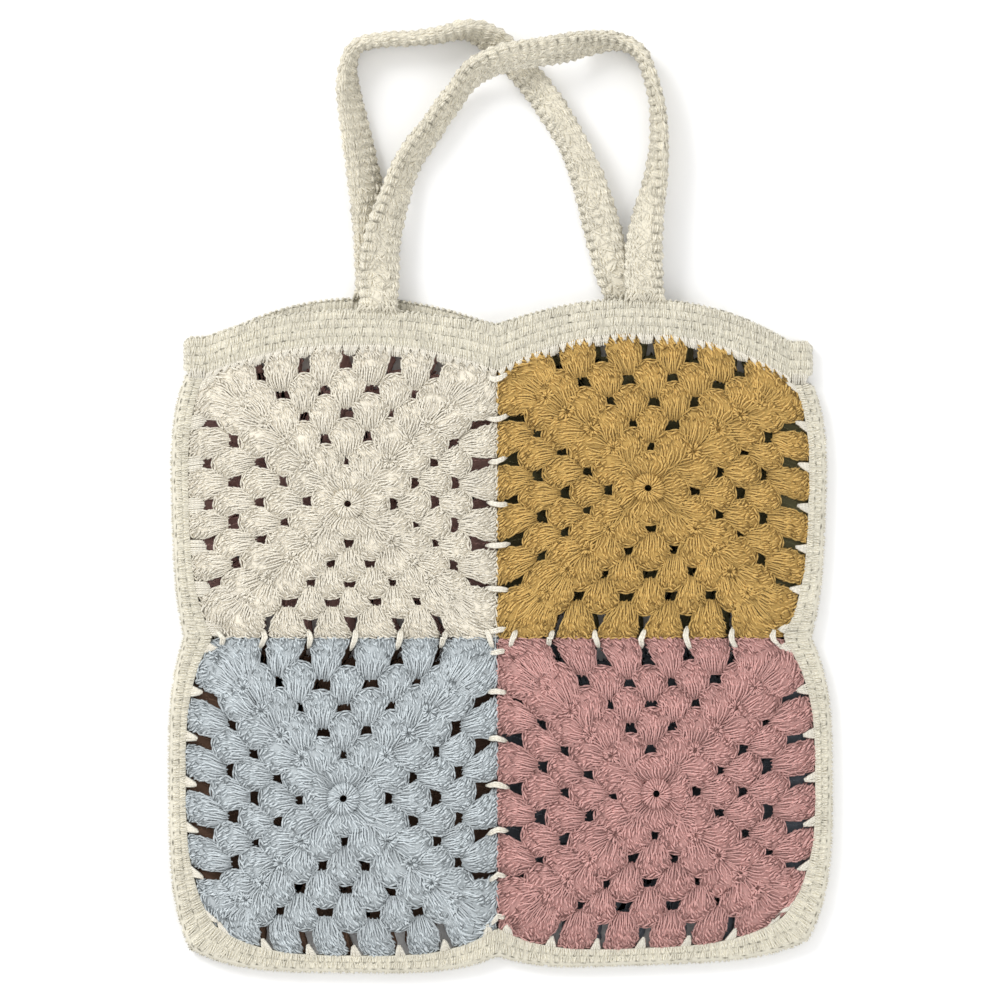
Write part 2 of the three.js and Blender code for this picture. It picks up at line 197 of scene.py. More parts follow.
def on_square(square, points, is_back=False):
    """Carries points from a flat square, in millimetres from its middle, to their place on the bag."""
    inside = 1 - (points[..., :2] / HALF_SIDE) ** 2
    drift = np.array(square["drift"]) * np.prod(inside, axis=-1, keepdims=True)
    if is_back:
        drift = drift + np.array(BACK_SLIDE) * inside
    share = ((points[..., :2] + drift) / HALF_SIDE + 1) / 2
    outward = 1 - share[..., 0] if square["column"] == "left" else share[..., 0]
    away = share[..., 1] if square["row"] == "mouth" else 1 - share[..., 1]
    x, y = square_plan(square, outward, away)
    if is_back:
        return np.stack([x, y, FABRIC_WALL / 2 - points[..., 2]], axis=-1)
    return np.stack([x, y, front_middle(square, outward, away) + points[..., 2]], axis=-1)


def add_node(tree, kind, inputs=None, **settings):
    """Adds one node to a tree, with its settings, values and links; a node given as a value is linked."""
    node = tree.nodes.new(kind)
    for name, value in settings.items():
        setattr(node, name, value)
    for name, value in (inputs or {}).items():
        shown = [socket for socket in node.inputs if socket.name == name and socket.enabled]
        socket = shown[0] if shown else node.inputs[name]
        if isinstance(value, bpy.types.Node):
            value = next(result for result in value.outputs if result.enabled)
        if isinstance(value, bpy.types.NodeSocket):
            tree.links.new(value, socket)
        else:
            socket.default_value = value
    return node


def yarn_tree():
    """Geometry nodes that turn loose edges into tubes of yarn and keep the faces of the padding."""
    tree = bpy.data.node_groups.new("plied_yarn", "GeometryNodeTree")
    for label, way, kind in (
        ("Geometry", "INPUT", "Geometry"), ("Thickness", "INPUT", "Float"), ("Sides", "INPUT", "Int"),
        ("Material", "INPUT", "Material"), ("Geometry", "OUTPUT", "Geometry"),
    ):
        tree.interface.new_socket(label, in_out=way, socket_type=f"NodeSocket{kind}")
    given = add_node(tree, "NodeGroupInput").outputs
    named, stored = "GeometryNodeInputNamedAttribute", "GeometryNodeStoreNamedAttribute"
    radius = add_node(tree, named, {"Name": "yarn_radius"}, data_type="FLOAT")
    is_yarn = add_node(tree, "FunctionNodeCompare", {0: radius, 1: 0.0}, operation="GREATER_THAN")
    lines = {"Mesh": given["Geometry"], "Selection": is_yarn}
    curves = add_node(tree, "GeometryNodeMeshToCurve", lines)
    outward = add_node(tree, named, {"Name": "outward"}, data_type="FLOAT_VECTOR")
    stood = add_node(tree, "GeometryNodeSetCurveNormal", {"Curve": curves, "Normal": outward}, mode="FREE")
    run = add_node(tree, "GeometryNodeSplineParameter").outputs["Length"]
    along = {"Geometry": stood, "Name": "along", "Value": run}
    marked = add_node(tree, stored, along, data_type="FLOAT", domain="POINT")
    ring = {"Resolution": given["Sides"], "Radius": 1.0}
    circle = add_node(tree, "GeometryNodeCurvePrimitiveCircle", ring)
    turn = {"Geometry": circle, "Name": "turn", "Value": add_node(tree, "GeometryNodeInputPosition")}
    profile = add_node(tree, stored, turn, data_type="FLOAT_VECTOR", domain="POINT")
    size = add_node(tree, "ShaderNodeMath", {0: radius, 1: given["Thickness"]}, operation="MULTIPLY")
    tube = {"Curve": marked, "Profile Curve": profile, "Scale": size, "Fill Caps": True}
    tubes = add_node(tree, "GeometryNodeCurveToMesh", tube)
    loose = {"Geometry": given["Geometry"], "Selection": is_yarn}
    padding = add_node(tree, "GeometryNodeDeleteGeometry", loose, domain="POINT")
    both = add_node(tree, "GeometryNodeJoinGeometry")
    for part in (padding, tubes):
        tree.links.new(part.outputs[0], both.inputs[0])
    smooth = add_node(tree, "GeometryNodeSetShadeSmooth", {"Geometry": both})
    real = add_node(tree, "GeometryNodeRealizeInstances", {"Geometry": smooth})
    dyed_with_painted_shade = add_node(tree, "GeometryNodeSetMaterial", {"Geometry": real, "Material": given["Material"]})
    add_node(tree, "NodeGroupOutput", {"Geometry": dyed_with_painted_shade})
    return tree


class Crochet:
    """Yarn paths and padding of one piece, gathered before the yarn gets its thickness."""

    def __init__(self):
        self.points = []
        self.edges = []
        self.faces = []
        self.values = {"yarn_radius": [], "tone": [], "outward": []}
        self.count = 0

    def add(self, points, radius, tone, outward):
        """Points in millimetres with the yarn's radius and tone there, and where its ridge looks."""
        self.points.append(points)
        self.values["yarn_radius"].append(radius * MM)
        self.values["tone"].append(tone)
        self.values["outward"].append(outward)
        self.count += len(points)

    def add_yarn(self, paths, radius, tone, outward=UPWARDS):
        """paths are strands x points x 3 in millimetres; a list of tones has one for each strand."""
        strands, steps = paths.shape[:2]
        tone = np.reshape(tone, (-1, 1)) if np.ndim(tone) == 1 else tone
        first = self.count + np.arange(strands)[:, None] * steps + np.arange(steps - 1)[None, :]
        self.edges.append(np.stack([first, first + 1], axis=-1).reshape(-1, 2))
        ahead = unit(np.gradient(paths, axis=1))
        ridge = np.broadcast_to(outward, paths.shape)
        ridge = unit(ridge - np.sum(ridge * ahead, axis=2, keepdims=True) * ahead)
        whole_radius = np.broadcast_to(radius, (strands, steps)).reshape(-1)
        whole_tone = np.broadcast_to(tone, (strands, steps)).reshape(-1)
        self.add(paths.reshape(-1, 3), whole_radius, whole_tone, ridge.reshape(-1, 3))

    def add_padding(self, points, faces, tone):
        """Closed mesh under the yarn: points x 3 in millimetres and faces of their numbers."""
        self.faces.extend([self.count + int(number) for number in face] for face in faces)
        self.add(points, np.zeros(len(points)), np.full(len(points), tone), np.zeros(points.shape))

    def mesh(self, name):
        """A mesh of the padding's faces and the yarn's loose edges, with what their points carry."""
        mesh = bpy.data.meshes.new(name)
        edges = np.concatenate(self.edges).tolist() if self.edges else []
        mesh.from_pydata((np.concatenate(self.points) * MM).tolist(), edges, self.faces)
        for label, values in self.values.items():
            kind, slot = ("FLOAT_VECTOR", "vector") if label == "outward" else ("FLOAT", "value")
            attribute = mesh.attributes.new(label, kind, "POINT")
            attribute.data.foreach_set(slot, np.concatenate(values).astype(np.float32).ravel())
        return mesh


def make_piece(name, crochet, thickness, material):
    """The finished mesh of a piece: its yarn at full thickness over its padding."""
    piece = bpy.data.objects.new(name, crochet.mesh(name))
    bpy.context.scene.collection.objects.link(piece)
    modifier = piece.modifiers.new("yarn", "NODES")
    modifier.node_group = bpy.data.node_groups.get("plied_yarn") or yarn_tree()
    values = {"Thickness": thickness, "Sides": YARN_SIDES, "Material": material}
    for item in modifier.node_group.interface.items_tree:
        if item.in_out == "INPUT" and item.name in values:
            modifier[item.identifier] = values[item.name]
    bpy.context.view_layer.update()
    evaluated = piece.evaluated_get(bpy.context.evaluated_depsgraph_get())
    finished = bpy.data.meshes.new_from_object(evaluated)
    piece.modifiers.remove(modifier)
    rough = piece.data
    piece.data = finished
    bpy.data.meshes.remove(rough)
    finished.name = name
    return piece


# How a fan of stitches widens from its base to its top, in shares of half a square's side, and how high
# it stands over the middle of the wall, in millimetres
FAN_LEVELS = (0, 0.12, 0.3, 0.5, 0.72, 0.88, 1)
FAN_SHAPES = {
    "petal": {"widths": (0.071, 0.088, 0.108, 0.125, 0.138, 0.132, 0.1),
              "lifts": (1.5, 1.8, 2.1, 2.4, 2.4, 2.0, 0.9)},
    "inner": {"widths": (0.066, 0.08, 0.096, 0.11, 0.12, 0.118, 0.1),
              "lifts": (0.7, 1.5, 2.1, 2.4, 2.4, 2.0, 0.9)},
    "joint": {"widths": (0.066, 0.08, 0.1, 0.116, 0.134, 0.151, 0.157),
              "lifts": (0.7, 1.5, 2.1, 2.3, 2.3, 2.0, 1.2)},
    "outer": {"widths": (0.066, 0.082, 0.104, 0.116, 0.12, 0.12, 0.117),
              "lifts": (0.7, 1.5, 2.1, 2.3, 2.3, 2.0, 1.2)},
}
PETAL_START = 0.094
PETAL_BOW = 0.029
FAN_ARCH = 0.13
EDGE_ARCH = 0.02
EDGE_TOP = 1.01
GAP_HALF = 0.031
BASE_OVERLAP = 0.012
CORNER_BASE = 0.96
FAN_LEAN = 0.05
EDGE_LEAN = 0.1
CORNER_MORE = 1.35
HAND_SHIFT = 0.006
HAND_SPREAD = 0.06

# How far a fan drops at its flanks and between its three posts, in millimetres
SIDE_DROP = 2.1
POST_GROOVE = 0.35
POST_SHARE = 0.33
GROOVE_WIDTH = 0.09

# Heights of the stitches at the corners and of the dark strands of painted shade in the hollows, in
# millimetres over the wall or the fan
BURST_LIFT = 2.3
CORNER_SHADE_LIFT = -0.35
PINHOLE_SHADE_LIFT = 0.92
PINHOLE_SHADE_COUNT = 7

# Radii of the stretches of yarn, in millimetres. Medium-weight cotton is some 2 mm thick.
PLY = 0.68
BACK_PLY = 1.0
ROSETTE_PLY = 0.8
# Dark strands of painted shade in the corner spaces and at each pinhole
CORNER_SHADE_PLY = 0.55
PINHOLE_SHADE_PLY = 0.38
BAND_PLY = 0.86
# Dark strands of painted shade in the slots between rows, on the bands and the handles
SLOT_SHADE_PLY = 0.42
CREST_PLY = 0.9
SEWING_PLY = 0.8
STRAP_PLY = 1.0

# How sharply a stretch of yarn dives into the fabric at its ends, and how much thinner it gets there
DIVE_POWER = 2.5
TAPER = 0.35

# Tones of painted shade and painted light run from -3, deep in a hollow, to 0.5, on a ridge in full light
CORNER_SHADE_TONE = -3.0
PINHOLE_SHADE_TONES = (-3, -2)
# The pads under the yarn are coloured dark as painted shade between the strands
SQUARE_PAD_SHADE = -1.3
BAND_PAD_SHADE = -0.6
STRAP_PAD_SHADE = -0.4
CREST_LIFT = 1.9
PAINTED_SHADE_BY_HEIGHT = 0.75

# The pads under the yarn: how far below the fans' surface and above the wall's underside, in millimetres
PAD_DEPTH = 0.5
PAD_FLOOR = 0.4 - FABRIC_WALL / 2

# Long strands of one fan: how many, points on each and how far up they reach. The back has two layers of
# them, and the height in millimetres is that of the inner one.
UPRIGHTS = (13, 5, 0.58)
BACK_UPRIGHTS = (8, 5, 1.0)
BACK_INNER = (5, 4, 0.95)
BACK_INNER_HEIGHT = -1.3
BACK_INNER_TONES = (-0.4, 0.5)

# Rows of short stretches of yarn up one fan: level, length in millimetres, how many and their slant
FAN_ROWS = ((0.5, 4.5, 12, 0.8), (0.66, 3.7, 14, 1.5), (0.8, 3.3, 14, 2.0))
EDGE_ROW = (0.91, 3.1, 13, 1.8)

# Chains of loops along the top of a fan: level, how many and their tilt
FAN_CHAINS = ((0.92, 5, 0.1), (0.985, 3, 0.02))
EDGE_CHAIN = (0.965, 6, 0.07)

# The two rings of loops round the hole in the middle: how many, and where they start and end in millimetres
ROSETTE_RINGS = ((16, 2.0, 5.1), (28, 3.9, 8.2))
ROSETTE_PAD = ((1.7, -1.8), (1.9, 0.8), (4.4, 1.3), (7.7, 1.0), (8.3, -1.8))


def fan_place(fan, across, up):
    """Plan of a fan of stitches on its side of the square, in shares: across is -1 to 1, up is 0 to 1."""
    widths = fan["spread"] * np.interp(up, FAN_LEVELS, fan["widths"])
    lean = np.sin(np.clip(up, 0, 1) * math.pi * (0.5 if fan["at_edge"] else 1))
    shift = lean * (fan["lean_right"] * np.clip(across, 0, 1) - fan["lean_left"] * np.clip(-across, 0, 1))
    arch = EDGE_ARCH if fan["at_edge"] else FAN_ARCH
    a = mix(fan["base"][0], fan["top"][0], up) + across * widths + shift
    r = mix(fan["base"][1], fan["top"][1], up - arch * across ** 2 * up ** 2)
    return a, r - fan["bow"] * across ** 2 * (1 - np.clip(up, 0, 1))


def fan_lift(fan, across, up):
    """Height of a fan's surface over the middle of the wall, in millimetres."""
    groove = POST_GROOVE * np.exp(-((np.abs(across) - POST_SHARE) / GROOVE_WIDTH) ** 2)
    return np.interp(up, FAN_LEVELS, fan["lifts"]) - SIDE_DROP * np.abs(across) ** 3 - groove


def round_centre(number):
    """How far the middle of a round lies from the middle of its square."""
    return RING + (number - 0.5) * ROUND_DEPTH


def gap_along(number, index):
    """Where the gap of that index lies along a side in a round; the first and last are its corners."""
    reach = round_centre(number) * (OUTER_SPREAD if number >= ROUNDS else 1)
    return (2 * index - number) / number * reach


def fans_of_side(draw, is_outer, fullness):
    """Every fan of stitches of one side of a square, each a little different."""
    fans = []
    for number in range(1, ROUNDS + 1):
        at_edge = number == ROUNDS
        kind = "petal" if number == 1 else "inner"
        if at_edge:
            kind = "outer" if is_outer else "joint"
        for index in range(number):
            at_left = index == 0
            at_right = index == number - 1
            top_level = EDGE_TOP if at_edge else round_centre(number + 1) - GAP_HALF
            top = (gap_along(number + 1, index + 1), top_level)
            if number == 1:
                base = (0, PETAL_START)
            elif at_left or at_right:
                pulled = CORNER_PULL * round_centre(number - 1)
                base = (pulled * (1 if at_right else -1) * CORNER_BASE, pulled + GAP_HALF - BASE_OVERLAP)
            else:
                base = (gap_along(number - 1, index), round_centre(number - 1) + GAP_HALF - BASE_OVERLAP)
            lean = EDGE_LEAN if at_edge else FAN_LEAN
            shift = draw.normal(0, HAND_SHIFT, 4)
            fans.append({
                **FAN_SHAPES[kind],
                "base": (base[0] + shift[0], base[1]),
                "top": (top[0] + shift[1], top[1] + (0 if at_edge else shift[2])),
                "at_edge": at_edge,
                "bow": PETAL_BOW if number == 1 else 0,
                "spread": fullness * (1 + draw.uniform(-HAND_SPREAD, HAND_SPREAD)),
                "lean_left": (lean if at_left else 0) + shift[3],
                "lean_right": (lean if at_right else 0) - shift[3],
                "turn": draw.uniform(0, 2 * math.pi),
                "more": CORNER_MORE if at_edge and (at_left or at_right) else 1,
            })
    return fans


def turn_side(points, side):
    """Turns points from the top side of a square to another side."""
    a, r = points[..., 0], points[..., 1]
    x, y = ((a, r), (r, -a), (-a, -r), (-r, a))[side]
    return np.stack([x, y, points[..., 2]], axis=-1)


def flat_path(fan, across, up, lift):
    """Points of a fan in millimetres from the square's middle, with their height."""
    a, r = fan_place(fan, across, up)
    return np.stack([a * HALF_SIDE, r * HALF_SIDE, lift], axis=-1)


def dive(steps, depth):
    """Heights along a stretch of yarn that comes up out of the fabric and goes down into it again."""
    return -depth * np.abs(np.linspace(-1, 1, steps)) ** DIVE_POWER


def fan_uprights(fan, draw, strands, steps, reach):
    """Centre lines of the long strands that spread from the base of one fan."""
    across = evenly(strands) + draw.uniform(-0.3, 0.3, strands) / strands
    top = reach + draw.uniform(-0.12, 0.08, (strands, 1))
    start = draw.uniform(-0.03, 0.05, (strands, 1))
    up = mix(start, top, np.linspace(0, 1, steps)[None, :])
    sway = draw.uniform(-1.3, 1.3, (strands, 1)) / strands
    wave = np.sin(up * 12 + draw.uniform(0, 6.3, (strands, 1)))
    across = np.clip(across[:, None] * 0.97 + sway * wave, -1, 1)
    lift = fan_lift(fan, across, up) + draw.uniform(-0.3, 0.2, (strands, 1)) + dive(steps, 0.8)
    return flat_path(fan, across, up, lift)


def fan_strokes(fan, draw, level, length, count, slant):
    """Centre lines of the short slanting stretches of yarn across one fan, length in millimetres."""
    steps = 4
    count = round(count * fan["more"])
    width = np.interp(level, FAN_LEVELS, fan["widths"]) * HALF_SIDE
    tall = (fan["top"][1] - fan["base"][1]) * HALF_SIDE
    across = evenly(count) + draw.uniform(-0.4, 0.4, count) / count
    shift = draw.normal(-slant, 0.5 + 0.25 * slant, count) + 1.0 * across
    part = np.linspace(-0.5, 0.5, steps)[None, :]
    hook = draw.uniform(-0.35, 0.35, (count, 1)) * (part ** 2 * 4)
    across = across[:, None] * 0.94 + (part * shift[:, None] + hook) / width
    own = length * draw.uniform(0.7, 1.15, count) / tall
    up = level + draw.uniform(-0.06, 0.06, (count, 1)) + part * own[:, None]
    up = up - 0.045 * np.abs(across) ** 2
    knob = 0.35 * np.cos(across * 3 * math.pi + fan["turn"])
    lift = fan_lift(fan, across, up) + knob + draw.uniform(-0.4, 0.3, (count, 1)) + dive(steps, 1.2)
    return flat_path(fan, np.clip(across, -1.03, 1.03), up, lift)


def fan_chain(fan, draw, level, count, slant):
    """Centre lines of the chain loops that close the top of one fan, which lie along its edge."""
    steps = 4
    part = np.linspace(-0.5, 0.5, steps)[None, :]
    across = evenly(count, 0.9)[:, None] + part * 1.9 / count * draw.uniform(0.9, 1.2, (count, 1))
    tilt = slant * draw.uniform(0.5, 1.2, (count, 1)) * draw.choice((-1, 1), (count, 1))
    up = level - 0.05 * np.abs(across) ** 3 + part * tilt
    lift = fan_lift(fan, across, up) + draw.uniform(-0.2, 0.3, (count, 1)) + dive(steps, 0.9)
    return flat_path(fan, np.clip(across, -1, 1), up, lift)


def fan_pinhole_shades(fan, draw, count):
    """Short dark strands of painted shade in the hollows between the stitches, under the chain along a
    fan's top.
    """
    across = evenly(count, 0.85) + draw.uniform(-0.12, 0.12, count)
    level = draw.uniform(0.6, 0.9, (count, 1)) - 0.06 * across[:, None] ** 2
    part = np.linspace(-0.5, 0.5, 3)[None, :]
    own = across[:, None] + part * draw.uniform(0.04, 0.16, (count, 1))
    up = level + part * draw.uniform(0.02, 0.1, (count, 1))
    return flat_path(fan, own, up, fan_lift(fan, own, up) + PINHOLE_SHADE_LIFT)


def fan_flanks(fan, draw):
    """Centre lines of the loops that round off the two flanks of one fan beside its gaps."""
    paths = []
    for side in (-1, 1):
        up = np.linspace(draw.uniform(0.38, 0.5), draw.uniform(0.76, 0.88), 4)
        across = side * (0.9 + np.array([-0.2, 0.0, 0.03, -0.2]))
        lift = fan_lift(fan, across, up) + np.array([-0.9, 0.1, 0.2, -0.9])
        paths.append(flat_path(fan, across, up, lift))
    return np.stack(paths)


def closed_sheet(high, low):
    """One closed mesh from two grids of points of the same size, faces outwards."""
    rows, columns = high.shape[:2]
    number = np.arange(rows * columns).reshape(rows, columns)
    under = number + rows * columns
    quads = []
    for i in range(rows - 1):
        for j in range(columns - 1):
            corners = [(i, j), (i + 1, j), (i + 1, j + 1), (i, j + 1)]
            quads.append([number[c] for c in corners])
            quads.append([under[c] for c in reversed(corners)])
    border = [*number[:, 0], *number[-1, 1:], *number[-2::-1, -1], *number[0, -2:0:-1]]
    for here, there in zip(border, border[1:] + border[:1]):
        quads.append([here, here + under[0, 0], there + under[0, 0], there])
    return np.concatenate([high.reshape(-1, 3), low.reshape(-1, 3)]), quads


def fan_padding(fan):
    """Closed pad that fills one fan under its yarn: points and quads."""
    across, up = np.meshgrid(np.linspace(-0.9, 0.9, 4), np.linspace(0.02, 0.95, 5), indexing="ij")
    high = flat_path(fan, across, up, fan_lift(fan, across, up) - PAD_DEPTH)
    low = high.copy()
    low[..., 2] = PAD_FLOOR
    return closed_sheet(high, low)


def corner_place(number):
    """Where a round's corner space lies on its side's diagonal, in millimetres."""
    corner = CORNER_PULL * round_centre(number) * HALF_SIDE
    return np.array([corner, corner, 0])


def corner_burst(draw, number):
    """Centre lines of the stretches of yarn that run out all round from a round's corner space."""
    strands = 13
    angle = (np.arange(strands) + draw.uniform(-0.3, 0.3, strands)) / strands * 2 * math.pi
    end = draw.uniform(2.8, 5.0, (strands, 1))
    part = np.linspace(0, 1, 4)
    reach = mix(draw.uniform(0.9, 1.5, (strands, 1)), end, part)
    bent = angle[:, None] + draw.uniform(-0.12, 0.12, (strands, 1)) * part
    lift = BURST_LIFT + np.array([-2.6, -0.2, 0.1, -1.0]) + draw.uniform(-0.2, 0.2, (strands, 1))
    return corner_place(number) + spokes(bent, reach, lift)


def corner_hole_shade(draw, number):
    """A short dark strand of painted shade in a round's corner space."""
    path = spokes(draw.uniform(0, math.pi), np.array([-0.9, 0, 0.9]), BURST_LIFT + CORNER_SHADE_LIFT)
    return (corner_place(number) + path)[None]


def rosette_paths(draw, strands, start, end):
    """Centre lines of the short loops round the hole in the middle of a square."""
    angle = (np.arange(strands) + draw.uniform(-0.2, 0.2, strands)) / strands * 2 * math.pi
    part = np.linspace(0, 1, 4)
    reach = mix(start, end, part)
    angle = angle[:, None] + 0.9 / strands * part * 6.3 * draw.uniform(0.3, 1, (strands, 1))
    lift = 1.9 - 0.008 * (reach - 3.5) ** 2 + dive(4, 0.6) + draw.uniform(-0.25, 0.25, (strands, 1))
    return spokes(angle, reach, lift)


def rosette_padding():
    """Closed ring under the middle of a square: points and quads."""
    angle = np.linspace(0, 2 * math.pi, 20, endpoint=False)[:, None]
    reach, height = np.array(ROSETTE_PAD).T
    return ring_mesh(spokes(angle, reach, height), True)


def ring_mesh(grid, runs_round):
    """A tube from sections x points x 3 whose sections are closed; it runs round or is capped."""
    sections, size = grid.shape[:2]
    spans = sections if runs_round else sections - 1
    quads = []
    for s in range(spans):
        here, there = s * size, (s + 1) % sections * size
        for p in range(size):
            q = (p + 1) % size
            quads.append([here + p, here + q, there + q, there + p])
    if not runs_round:
        quads.append(list(range(size - 1, -1, -1)))
        quads.append([(sections - 1) * size + p for p in range(size)])
    return grid.reshape(-1, 3), quads


def wander(points, seed):
    """Lets the rounds of a square wander a little, as hand tension does."""
    draw = np.random.default_rng(seed)
    moved = points.copy()
    for axis in (0, 1):
        for _ in range(5):
            wave = draw.uniform(-0.1, 0.1, 2)
            phase = draw.uniform(0, 2 * math.pi)
            size = draw.uniform(0.3, 0.75)
            moved[..., axis] += size * np.sin(points[..., 0] * wave[0] + points[..., 1] * wave[1] + phase)
    edge = np.clip(1 - np.max(np.abs(points[..., :2]), axis=-1) / HALF_SIDE, 0, 0.12) / 0.12
    edge = edge[..., None]
    return np.concatenate([mix(points[..., :2], moved[..., :2], edge), points[..., 2:]], axis=-1)


def is_outer_side(square, side):
    """Whether a side of a square is at the edge of the bag: 0 is the top one, 1 right, 2 below, 3 left."""
    outer = (0 if square["row"] == "mouth" else 2, 3 if square["column"] == "left" else 1)
    return side in outer


def square_yarn(square, seed, is_back):
    """All yarn of one square, and its padding, as two gatherings."""
    yarn, padding = Crochet(), Crochet()
    draw = np.random.default_rng(seed)

    def placed(points, side):
        flat = wander(turn_side(points, side), seed + WANDER_SEED)
        carried = on_square(square, flat, is_back)
        carried[..., 2] = np.maximum(carried[..., 2], 1.0)
        return carried

    def work(paths, side, radius=PLY, outward=UPWARDS):
        part = np.abs(np.linspace(-1, 1, paths.shape[1]))
        # Painted light and shade: paler above the crest height, darker the lower a strand lies (flanks,
        # grooves, dive ends), plus a random tone per strand
        depth = np.clip((paths[..., 2] - CREST_LIFT) * PAINTED_SHADE_BY_HEIGHT, -2, 0.4)
        tone = draw.normal(0, 0.3, (len(paths), 1)) + depth
        yarn.add_yarn(placed(paths, side), radius * (1 - TAPER * part ** 3), tone, outward)

    def work_front(fan, side):
        strands, steps, reach = UPRIGHTS
        work(fan_uprights(fan, draw, round(strands * fan["more"]), steps, reach), side)
        for row in (*FAN_ROWS, EDGE_ROW) if fan["at_edge"] else FAN_ROWS:
            work(fan_strokes(fan, draw, *row), side)
        for chain in (EDGE_CHAIN,) if fan["at_edge"] else FAN_CHAINS:
            work(fan_chain(fan, draw, *chain), side)
        work(fan_flanks(fan, draw), side)
        # Dark strands of painted shade in the hollows under the chain
        pinhole_shade_strands = placed(fan_pinhole_shades(fan, draw, PINHOLE_SHADE_COUNT), side)
        yarn.add_yarn(pinhole_shade_strands, PINHOLE_SHADE_PLY, draw.uniform(*PINHOLE_SHADE_TONES, PINHOLE_SHADE_COUNT))

    def work_back(fan, side):
        work(fan_uprights(fan, draw, *BACK_UPRIGHTS), side, BACK_PLY, DOWNWARDS)
        inner = fan_uprights(fan, draw, *BACK_INNER)
        inner[..., 2] = BACK_INNER_HEIGHT
        yarn.add_yarn(placed(inner, side), BACK_PLY, draw.normal(*BACK_INNER_TONES, len(inner)))

    def add_pad(points, faces, side):
        outwards = [face[::-1] for face in faces] if is_back else faces
        # The pad's dark colour is painted shade between the strands
        padding.add_padding(placed(points, side), outwards, SQUARE_PAD_SHADE)

    for side in range(4):
        for fan in fans_of_side(draw, is_outer_side(square, side), square["full"]):
            (work_back if is_back else work_front)(fan, side)
            add_pad(*fan_padding(fan), side)
        for number in () if is_back else range(2, ROUNDS):
            work(corner_burst(draw, number), side)
            # A dark strand of painted shade in the corner space
            yarn.add_yarn(placed(corner_hole_shade(draw, number), side), CORNER_SHADE_PLY, CORNER_SHADE_TONE)
    for ring in ROSETTE_RINGS:
        work(rosette_paths(draw, *ring), 0, ROSETTE_PLY)
    add_pad(*rosette_padding(), 0)
    return yarn, padding


# The bands, as the solids have them, in millimetres
EDGING_WIDTHS = {"mouth": 10.5, "beside": 9.5, "joint": 15.5, "corner": 18.5}
EDGING_POWER = 3
EDGING_ROUND = 2.8
EDGING_SQUARENESS = 0.7
RIM_HEIGHTS = (24, 18, 19)
RIM_CROWN = 1
RIM_OVERHANG = 0.6
END_PINCH = 0.22
BACK_RIM_RISE = 6.3
BACK_RISE_MIDDLE = -0.46
BACK_RISE_REACH = 0.44


def along_side(ends, share):
    """A value that is the middle one along most of a side and changes to the others at its ends."""
    at_start, between, at_end = ends
    start = np.maximum(0, 1 - 2 * share) ** EDGING_POWER
    end = np.maximum(0, 2 * share - 1) ** EDGING_POWER
    return between + (at_start - between) * start + (at_end - between) * end


class Edging:
    """The band that runs down the left side of the squares, along the bottom and up the right side."""

    def __init__(self):
        width = EDGING_WIDTHS
        from_mouth = (width["mouth"], width["beside"], width["joint"])
        from_corner = (width["corner"], width["beside"], width["joint"])
        walks = (
            (0, True, True, from_mouth, (180, 180, 180)),
            (2, True, False, from_corner[::-1], (180, 180, 225)),
            (2, False, True, from_corner, (225, 270, 270)),
            (3, False, False, from_corner[::-1], (270, 270, 315)),
            (3, True, True, from_corner, (315, 360, 360)),
            (1, True, False, from_mouth[::-1], (360, 360, 360)),
        )
        share = np.linspace(0, 1, 60, endpoint=False)
        rows = []
        for number, on_side, backwards, widths, angles in walks:
            own = 1 - share if backwards else share
            outward, away = (np.ones_like(own), own) if on_side else (own, np.ones_like(own))
            x, y = square_plan(SQUARES[number], outward, away)
            rows.append(np.stack([x, y, along_side(widths, share), np.radians(along_side(angles, share))]))
        self.x, self.y, self.width, self.angle = np.concatenate(rows, axis=1)
        middle = spokes(self.angle, self.width / 2 + SEAM_CLEARANCE, 0)
        self.run = distances(middle + np.stack([self.x, self.y, 0 * self.x], axis=-1))
        self.length = self.run[-1]

    def place(self, along, across, lift):
        """across is 0 to 1 over the front, 1 to 2 round the outer edge and 2 to 3 over the back."""
        along, across, lift = np.broadcast_arrays(along, across, lift)
        band = (self.x, self.y, self.width, self.angle)
        x, y, width, angle = (np.interp(along, self.run, values) for values in band)
        turn = math.pi / 2 - math.pi * np.clip(across - 1, 0, 1)
        side, upright = np.cos(turn), np.sin(turn)
        flat = np.clip(np.minimum(across, 3 - across), 0, 1) * (width - EDGING_ROUND)
        reach = SEAM_CLEARANCE + flat + EDGING_ROUND * squared_off(side, EDGING_SQUARENESS) + side * lift
        z = FRONT_TOP / 2 * (1 + squared_off(upright, EDGING_SQUARENESS)) + upright * lift
        return np.stack([x, y, 0 * z], axis=-1) + spokes(angle, reach, z)


